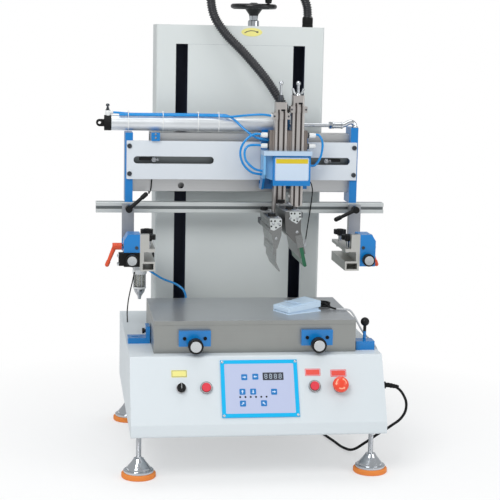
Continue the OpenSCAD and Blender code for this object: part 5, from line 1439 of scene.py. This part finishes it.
@dataclass
class Carriage:
    """Bracket, cover, cylinders, valves, fittings and air lines."""

    flood: tuple[float, float] = (92.0, 896.0)
    squeegee: tuple[float, float] = (137.0, 914.0)
    cylinder_y: float = 60.0
    barrel: tuple[float, float, float] = (115.0, 834.0, 20.0)
    fitting_y: float = 50.0
    shelf: tuple[float, float] = (759.5, 771.2)
    tie_x: tuple[float, ...] = (-300.0, -210.0, -118.0, -64.0)
    tie_rise: float = 8.6
    tie_lean: float = 1.5
    plate_at: Point = (120.0, 28.0, 724.5)
    hanging_route: list[Point] = field(default_factory=lambda: [
        (167, 79, 692), (180, 81, 684), (186, 85, 664), (185, 88, 638), (182.5, 91, 610),
        (179, 92, 584), (175.5, 92, 556), (172.5, 92, 532)])
    lines: list[list[Point]] = field(default_factory=lambda: [
        [(49.7, 50, 783), (27, 49, 785), (7, 48, 782), (-2, 47, 767), (3, 46, 743),
         (25, 46, 723), (45, 46, 718)],
        [(49.7, 50, 811), (25, 54, 813), (2, 54, 798), (-12, 54, 770), (-6, 54, 738),
         (17, 54, 714), (45, 54, 708)],
        [(-341, 115, 861), (-326, 114.5, 860.4), (-300, 113.5, 858.5), (-280, 113, 858),
         (-80, 113, 858), (-36, 97, 854), (0, 78, 824), (28, 64, 804), (62, 60, 797)],
        [(174.3, 50, 811), (192, 50, 812), (203, 51, 792), (200, 52, 758), (186, 53, 734),
         (169, 53, 732)],
        [(-324, 104, 856), (-200, 104, 856), (-80, 104, 856), (-34, 90, 855), (10, 66, 861),
         (44, 60, 863), (70, 60, 860)]])

    def air_lines(self) -> None:
        """The blue tubes, and the ties that hold them to the barrel."""
        piece = Workpiece("air_lines")
        for route in self.lines:
            piece.air_line(route)
        made = piece.finish(AIR_BLUE, "carriage", "air_tube")
        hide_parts("carriage_tubes")
        ties = Workpiece("cable_ties")
        y, z, r = self.barrel
        for x in self.tie_x:
            loop = []
            for out, up in circle(r, 32) + circle(r, 1):
                over_tubes = up > 0.62 * r
                loop.append((x, y + out - self.tie_lean * over_tubes,
                             z + up + self.tie_rise * over_tubes))
            ties.tube(np.array(loop, float), 1.0, 6, closed=False)
            ties.plate(5.0, 5.0, 0.0, 3.4, placed((x, y - 2.0, z + r + 8.0)), 0.8)
        ties.finish(WHITE_PLASTIC, "carriage")

    def fittings(self) -> None:
        """Push-in elbows on the valves, the barrel and the cylinders."""
        white = Workpiece("tube_fittings")
        metal = Workpiece("fitting_nuts")
        for x, way in ((51.0, -1), (173.0, 1)):
            for z in (783.0, 811.0):
                white.turned([(0, -6), (6.6, -6), (6.6, 7), (5.4, 8.5), (5.4, 11), (3.2, 11)],
                             placed((x, self.fitting_y, z), (way, 0, 0)), 28)
                metal.hex_nut(placed((x - way * 10.6, self.fitting_y, z), (way, 0, 0)), 14.0,
                              4.4, 5.0)
        cylinder_port = [(0, -3), (5.8, -3), (5.8, 3), (4.4, 5.5), (0, 5.5)]
        blade_port = [(0, -1), (4.6, -1), (4.6, 4), (3.4, 5.5), (0, 5.5)]
        for profile, x, z, way in ((cylinder_port, self.flood[0] - 19.0, 860.0, -1),
                                   (cylinder_port, self.squeegee[0] + 19.0, 878.0, 1),
                                   (blade_port, 108.0, 632.0, 1),
                                   (blade_port, 121.0, 650.0, -1)):
            white.turned(profile, placed((x, self.cylinder_y, z), (way, 0, 0)), 24)
        white.turned([(0, 0), (6.8, 0), (6.8, 13), (5.0, 16), (0, 16)],
                     placed((-353.0, 115.0, 852.0)), 24)
        white.turned([(0, 0), (5.2, 0), (5.2, 10), (3.9, 12), (0, 12)],
                     placed((-351.0, 115.0, 861.0), RIGHT), 24)
        metal.turned([(0, 0), (4.0, 0), (4.0, 5), (2.6, 6), (2.6, 9), (4.6, 9.5), (4.6, 14),
                      (3.6, 15.5), (0, 16.5)], placed((-353.0, 115.0, 867.5)), 20)
        white.finish(FITTING_WHITE, "carriage")
        metal.finish(DARK_STEEL, "carriage")

    def plate(self) -> None:
        """The bare plate on the cover with its gold strip, and the bracket's cheek."""
        spot = placed(self.plate_at, FRONT)
        Workpiece("cover_plate").plate(89.0, 60.0, 0.0, 0.5, spot, 4.0
                                       ).finish(LABEL_PALE, "carriage")
        Workpiece("cover_strip").plate(84.0, 12.0, 0.4, 0.65,
                                       spot @ Matrix.Translation((0, 20.5, 0)), 2.0
                                       ).finish(LABEL_GOLD, "carriage")
        Workpiece("cover_plate_edge").rim(
            rounded_oblong(87.0, 58.0, 3.5), rounded_oblong(86.2, 57.2, 3.2), 0.4, 0.6, spot
        ).finish(KEY_BLUE, "carriage")
        Workpiece("cheek_panel").prism(
            [(54.0, 700.0), (71.2, 694.0), (71.2, 759.7), (54.0, 759.7)], 0.0, 2.0,
            placed((0, 42.0, 0), FRONT)).finish(PALE_BLUE, "carriage")

    def grooves(self, x: Value, y: Value, z: Value) -> Value:
        """1 in the long slots of both cylinders' bodies, which get a painted shade.

        Args:
            x, y, z: The place, in millimetres.

        Returns:
            The mask.
        """
        flood, squeegee = ((abs(abs(x - middle) - 7.0) < 2.5) * (z < top - 19.0)
                           for middle, top in (self.flood, self.squeegee))
        return flood.larger(squeegee) * (y < 48.0)

    @staticmethod
    def valve_columns(x: Value, y: Value, z: Value) -> Value:
        """1 on the two valve columns beside the cylinders."""
        return ((z > 771.0) * (z < 823.2) * (y > 45.5)
                * (abs(abs(x - 114.5) - 22.5) > 16.2))

    def cylinders(self) -> None:
        """Bodies, ports and screws of the cylinders, and the nuts on their rods."""
        columns = split("columns_and_cylinders", CYLINDER_METAL, VALVE_METAL,
                        self.valve_columns)
        # The cylinders' long slots get a painted shade, a dark grey.
        dress(lift_cylinders=split("cylinder_metal_and_slot_shade", columns, GROOVE_SHADE_METAL,
                                   self.grooves))
        screws = Workpiece("cap_screws")
        ports = Workpiece("cap_ports")
        for x, top in (self.flood, self.squeegee):
            for sx, sy in CORNERS:
                screws.cap_screw(placed((x + sx * 10.5, self.cylinder_y + sy * 10.5, top)),
                                 2.4, 1.6)
            for side in SIDES:
                screws.cap_screw(placed((x + side * 18.5, 41.0, top - 36.0), FRONT), 2.4, 1.6)
            ports.plate(11.5, 5.0, -1.0, 0.35, placed((x + 4.5, 45.0, top - 20.5), FRONT), 2.2)
        screws.finish(DARK_STEEL, "carriage")
        ports.finish(SOFT_BLACK, "carriage")
        self.rod_nuts()

    def rod_nuts(self) -> None:
        """The flood rod's nut and the squeegee rod's wing nut, on the cylinders' caps."""
        x, top = self.flood
        nut = Workpiece("flood_rod_nut")
        nut.hex_nut(placed((x, self.cylinder_y, top + 0.2)), 14.5, 6.0, 5.2)
        nut.turned([(5.2, 0), (7.6, 0), (7.2, 4), (6.2, 12), (5.2, 12)],
                   placed((x, self.cylinder_y, top + 6.2)), 28)
        nut.finish(DARK_STEEL, "carriage")
        x, y, z = self.squeegee[0], self.cylinder_y, self.squeegee[1] + 0.2
        wing = Workpiece("wing_nut")
        wing.turned([(5.2, 0), (8.2, 0), (7.2, 4), (5.2, 4)], placed((x, y, z)), 24)
        for side in SIDES:
            wing.tube(smooth_route([(x + side * 7.6, y, z + 2.7), (x + side * 11, y, z + 8),
                                    (x + side * 14.5, y, z + 17)], 6),
                      lambda i: 2.6 + 0.12 * min(i, 6), 12)
        wing.finish(TUBE_METAL, "carriage")

    def hanging_lead(self) -> None:
        """The thin black lead that hangs from the bracket's right side, with its metal tip."""
        Workpiece("hanging_lead").wire(self.hanging_route).finish(CORD_BLACK, "carriage")
        Workpiece("hanging_lead_tip").turned(
            [(0, 0), (1.7, 0.4), (2.3, 1.2), (2.3, 22.0), (1.9, 23.0), (0, 23.0)],
            placed((172.8, 92.0, 534.0), (-0.12, 0, -1)), 20).finish(ZINC, "carriage")

    def build(self) -> None:
        """Dress the carriage."""
        low, high = self.shelf
        walls = split("bracket_walls", MACHINE_BLUE, PALE_BLUE,
                      lambda x, y, z: (z > 699.0) * (z < high) * (x < 71.5) * (y < 76.5))
        dress(carriage_bracket=split("bracket_and_shelf", walls, SHELF_PALE,
                                     lambda x, y, z: (z > low) * (z < high) * (y < 76.5)),
              carriage_cover=COVER_BLUE,
              stroke_cylinder=split("barrel_and_caps", BARREL_METAL, SOFT_BLACK,
                                    lambda x, y, z: x < -343.9))
        for step in (self.air_lines, self.fittings, self.plate, self.cylinders,
                     self.hanging_lead):
            step()


@dataclass
class BladeHead:
    """One blade's head: its end bracket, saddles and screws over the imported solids."""

    name: str
    body: str
    lift: str
    finish: Finish
    pivot: tuple[float, float]
    half: float
    bracket: Outline
    holes: Outline
    seats: Outline
    tall: float = 30.0
    front: float = -145.0
    rear: float = 15.0
    saddle_inset: float = 13.0
    rod_end: float = 890.0

    def end_bracket(self) -> None:
        """The perforated bracket on the head's front end, with black discs as painted shade in its
        holes, and its screws.
        """
        px, pz = self.pivot
        Workpiece(f"{self.name}_end_bracket").prism(
            [(px + x, pz + z) for x, z in self.bracket], -0.3, 2.2,
            placed((0, self.front, 0), FRONT)).finish(RAIL_METAL, self.body)
        # Painted shade: thin black discs on the bracket's face where its holes are.
        holes = Workpiece(f"{self.name}_bracket_hole_shade")
        for x, z in self.holes:
            holes.turned([(0, 2.0), (2.3, 2.0), (2.3, 2.35), (0, 2.35)],
                         placed((px + x, self.front, pz + z), FRONT), 16)
        holes.finish(SOFT_BLACK, self.body)
        bolts = Workpiece(f"{self.name}_end_bolts")
        for x, z in self.seats:
            over_bracket = 2.0 if z > 0 else 0.2
            bolts.cap_screw(placed((px + x, self.front - over_bracket, pz + z), FRONT), 3.6, 3.0)
        bolts.finish(TUBE_METAL, self.body)

    def saddles(self) -> None:
        """Low saddles under the thumb screws, with two screws beside each."""
        px, top = self.pivot[0], self.pivot[1] + self.tall
        plates = Workpiece(f"{self.name}_saddles")
        bolts = Workpiece(f"{self.name}_saddle_bolts")
        for y in (self.front + self.saddle_inset, self.rear - self.saddle_inset):
            plates.plate(2 * self.half - 3.0, 23.0, -0.3, 2.4, placed((px, y, top)), 2.0)
            for dy in (-7.0, 7.0):
                bolts.cap_screw(placed((px + self.half - 6.5, y + dy, top + 2.3)), 2.8, 2.6)
        plates.finish(CAST_METAL, self.body)
        bolts.finish(ZINC, self.body)

    def build(self) -> None:
        """Dress the head's casting and its lift, and add its fittings."""
        top = self.pivot[1] + self.tall
        dress(**{
            f"{self.name}_holder": split(f"{self.name}_casting_and_knobs", self.finish,
                                         BLACK_PLASTIC, lambda x, y, z: z > top + 4.9),
            self.lift: split(f"{self.name}_lift_and_stem", DARK_STEEL, CHROME,
                             lambda x, y, z: z > self.rod_end)})
        self.end_bracket()
        self.saddles()


@dataclass
class Squeegees:
    """The flood bar and the squeegee."""

    end_cover: Outline = ((102.7, 574.9), (109.9, 543.7), (126.0, 547.4), (118.8, 578.6))

    def build(self) -> None:
        """Dress both blades' heads."""
        BladeHead("flood", "flood_bar", "flood_lift", BLADE_METAL, (53.0, 587.0), 15.5,
                  [(-15, 30.5), (15.3, 30.5), (15.3, 13), (-4, 1), (-12.5, 4)],
                  [(-11, 25), (-2, 25), (11.5, 25), (-10.5, 12), (1, 9), (10.5, 15)],
                  [(-6, 18), (8, 18), (2, -18)]).build()
        squeegee = BladeHead("squeegee", "squeegee", "squeegee_lift", HEAD_METAL,
                             (97.0, 605.0), 20.0,
                             [(-10, 30.5), (19.8, 30.5), (19.8, 13), (9, 0.5), (-6, 8)],
                             [(-5, 26), (3, 26), (16, 26), (2, 9.5), (10, 6.5), (16.5, 18)],
                             [(-8, 14), (10, 14), (10, -20)])
        squeegee.build()
        dress(squeegee_blade=BLADE_GREEN)
        Workpiece("squeegee_end_cover").prism(
            self.end_cover, 0.0, 1.8, placed((0, squeegee.front, 0), FRONT)
        ).finish(BLADE_METAL, "squeegee")


@dataclass
class ScreenClamp:
    """One side's clamp: upright, channel, levers, knob and star screws."""

    side: str
    sign: int
    knob_at: Point = (299.0, -119.8, 508.0)
    outer: float = 319.0
    bare_face: float = 278.8
    bolt_y: tuple[float, ...] = (-88.0, -52.0)
    bolt_z: tuple[float, ...] = (496.0, 538.0)
    star_stem: float = 549.9

    def build(self) -> None:
        """Dress the clamp."""
        ends = split("arm_grey_and_blue", MACHINE_BLUE, ARM_METAL,
                     lambda x, y, z: (y > 74.9) * (z > 537.2))
        block = split("arm_with_black_foot", ends, SOFT_BLACK,
                      lambda x, y, z: (x < -self.bare_face) * (y < -39.0) * (z < 526.0))
        arm = split("arm_with_bare_block", block, CHANNEL_METAL,
                    lambda x, y, z: (abs(x) < self.bare_face) * (y < -79.0))
        star = split("star_and_stem", BLACK_PLASTIC, ZINC, lambda x, y, z: z < self.star_stem)
        dress(**{f"{self.side}_{part}": finish for part, finish in (
            ("clamp_arm", arm), ("channel", CHANNEL_METAL), ("arm_lever", BLACK_PLASTIC),
            ("orange_lever", LEVER_ORANGE), ("clamp_knob", BLACK_PLASTIC),
            ("front_screw", star), ("rear_screw", star))})
        x, y, z = self.knob_at
        Workpiece(f"{self.side}_clamp_knob_face").turned(
            [(0, 0), (12.3, 0), (12.3, 0.6), (11.6, 1.3), (3.0, 1.1), (0, 1.1)],
            placed((self.sign * x, y, z), FRONT), 44
        ).finish(TUBE_METAL, f"{self.side}_clamp_knob")
        bolts = Workpiece(f"{self.side}_clamp_bolts")
        for z in self.bolt_z:
            for y in self.bolt_y:
                bolts.cap_screw(self.outside(y, z), 3.4, 2.6)
        bolts.cap_screw(placed((self.sign * 287.0, -100.0, 538.0), FRONT), 4.2, 2.0)
        bolts.finish(DARK_STEEL, f"{self.side}_clamp")
        if self.sign < 0:
            self.slide_stop()

    def outside(self, y: float, z: float) -> Matrix:
        """The local frame of a point on the clamp's outer face."""
        return placed((self.sign * self.outer, y, z), (self.sign, 0, 0))

    def slide_stop(self) -> None:
        """The dark catch with its two silver pins outside the left clamp's knob."""
        Workpiece(f"{self.side}_slide_stop").plate(
            24.0, 32.0, -0.3, 12.0, self.outside(-86.0, 508.0), 2.0
        ).finish(SOFT_BLACK, f"{self.side}_clamp")
        ends = Workpiece(f"{self.side}_slide_stop_ends")
        for z in (497.0, 518.0):
            ends.turned([(0, 9.0), (4.4, 9.0), (4.4, 15.0), (3.4, 16.4), (0, 16.4)],
                        self.outside(-93.0, z), 20)
        ends.finish(TUBE_METAL, f"{self.side}_clamp")


@dataclass
class AirUnit:
    """Filter, bowl and supply line beside the column."""

    at: Point = (-262.0, 205.0, 435.0)
    gland_at: Point = (-142.0, 112.0, 295.0)
    ring_drop: float = 52.0
    supply: list[Point] = field(default_factory=lambda: [
        (-254, 178, 447), (-252, 168, 446), (-236, 152, 436), (-205, 142, 418),
        (-168, 132, 404), (-146, 120, 384), (-142, 112, 345), (-142, 112, 299)])
    wire: list[Point] = field(default_factory=lambda: [
        (-277, 190, 428), (-282, 189, 402), (-288, 188, 376), (-293, 186, 350),
        (-296, 180, 322), (-296, 172, 304), (-296, 164, 294)])

    def build(self) -> None:
        """Dress the unit."""
        x, y, base = self.at
        dress(filter_body=split("filter_body_finish", SOFT_BLACK, CAST_METAL,
                                lambda x, y, z: z < base + 33.0),
              filter_bowl=BOWL_CLEAR)
        made = Workpiece("supply_line").air_line(self.supply).finish(AIR_BLUE, "frame",
                                                                     "air_tube")
        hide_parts("supply_tube")
        gland = Workpiece("supply_gland")
        gland.turned([(0, 0), (8.0, 0), (8.0, 2.0), (5.4, 3.0), (5.4, 7.0), (3.1, 7.5)],
                     placed(self.gland_at), 28)
        gland.hex_nut(placed((x + 8.0, y - 24.0, base + 12.0), FRONT), 13.0, 4.0, 3.1)
        gland.turned([(15.1, -14.0), (19.0, -14.0), (19.4, -6.0), (17.2, 0.0), (15.1, 0.0)],
                     placed(self.at), 40)
        gland.turned([(15.1, -2.2), (17.4, -2.2), (17.4, 2.2), (15.1, 2.2)],
                     placed((x, y, base - self.ring_drop)), 40)
        gland.finish(FITTING_WHITE, "frame")
        Workpiece("filter_wire").wire(self.wire).finish(CORD_BLACK, "frame")
        guard = Workpiece("bowl_guard")
        for out, aside in circle(15.9, 10):
            guard.tube(np.array([(x + out, y + aside, base - down)
                                 for down in (self.ring_drop, 30.0, 12.0)]), 1.1, 6)
        guard.turned([(0, -84.0), (4.2, -84.0), (5.4, -76.0), (13.6, -63.6), (15.5, -55.0),
                      (15.1, -54.0), (0, -54.0)], placed(self.at), 36)
        guard.finish(ZINC, "frame")


@dataclass
class FootPedal:
    """The foot pedal parked on the table."""

    at: Point = (121.5, -92.5, 375.05)
    turn: float = 27.0
    slope: float = 6.65
    tread_height: float = 22.0
    ribs_from: float = -30.0
    rib_pitch: float = 7.0
    rib_size: tuple[float, float] = (1.6, 46.0)

    def build(self) -> None:
        """Dress the pedal and glue on its tread ribs."""
        dress(pedal_base=PEDAL_GREY, pedal_treadle=PEDAL_GREY)
        ribs = Workpiece("treadle_ribs")
        tread = (placed(self.at, UP, self.turn)
                 @ Matrix.Translation((0, 0, self.tread_height))
                 @ Matrix.Rotation(math.radians(-self.slope), 4, "Y"))
        for k in range(9):
            along = Matrix.Translation((self.ribs_from + self.rib_pitch * k, 0, 0))
            ribs.plate(*self.rib_size, -0.3, 0.7, tread @ along, 0.7)
        ribs.finish(PEDAL_GREY, "pedal_treadle")


def main() -> None:
    """Build the stage first, then the leads, then every sub-assembly."""
    Studio().build()
    Leads().build()
    for part in (Cabinet(), ControlFace(), PrintingTable(), Column(), RibbedHose(), Head(),
                 Carriage(), Squeegees(), ScreenClamp("left", -1), ScreenClamp("right", 1),
                 AirUnit(), FootPedal()):
        part.build()
        log.info("sub-assembly %s is done", type(part).__name__)


if __name__ == "__main__":
    main()
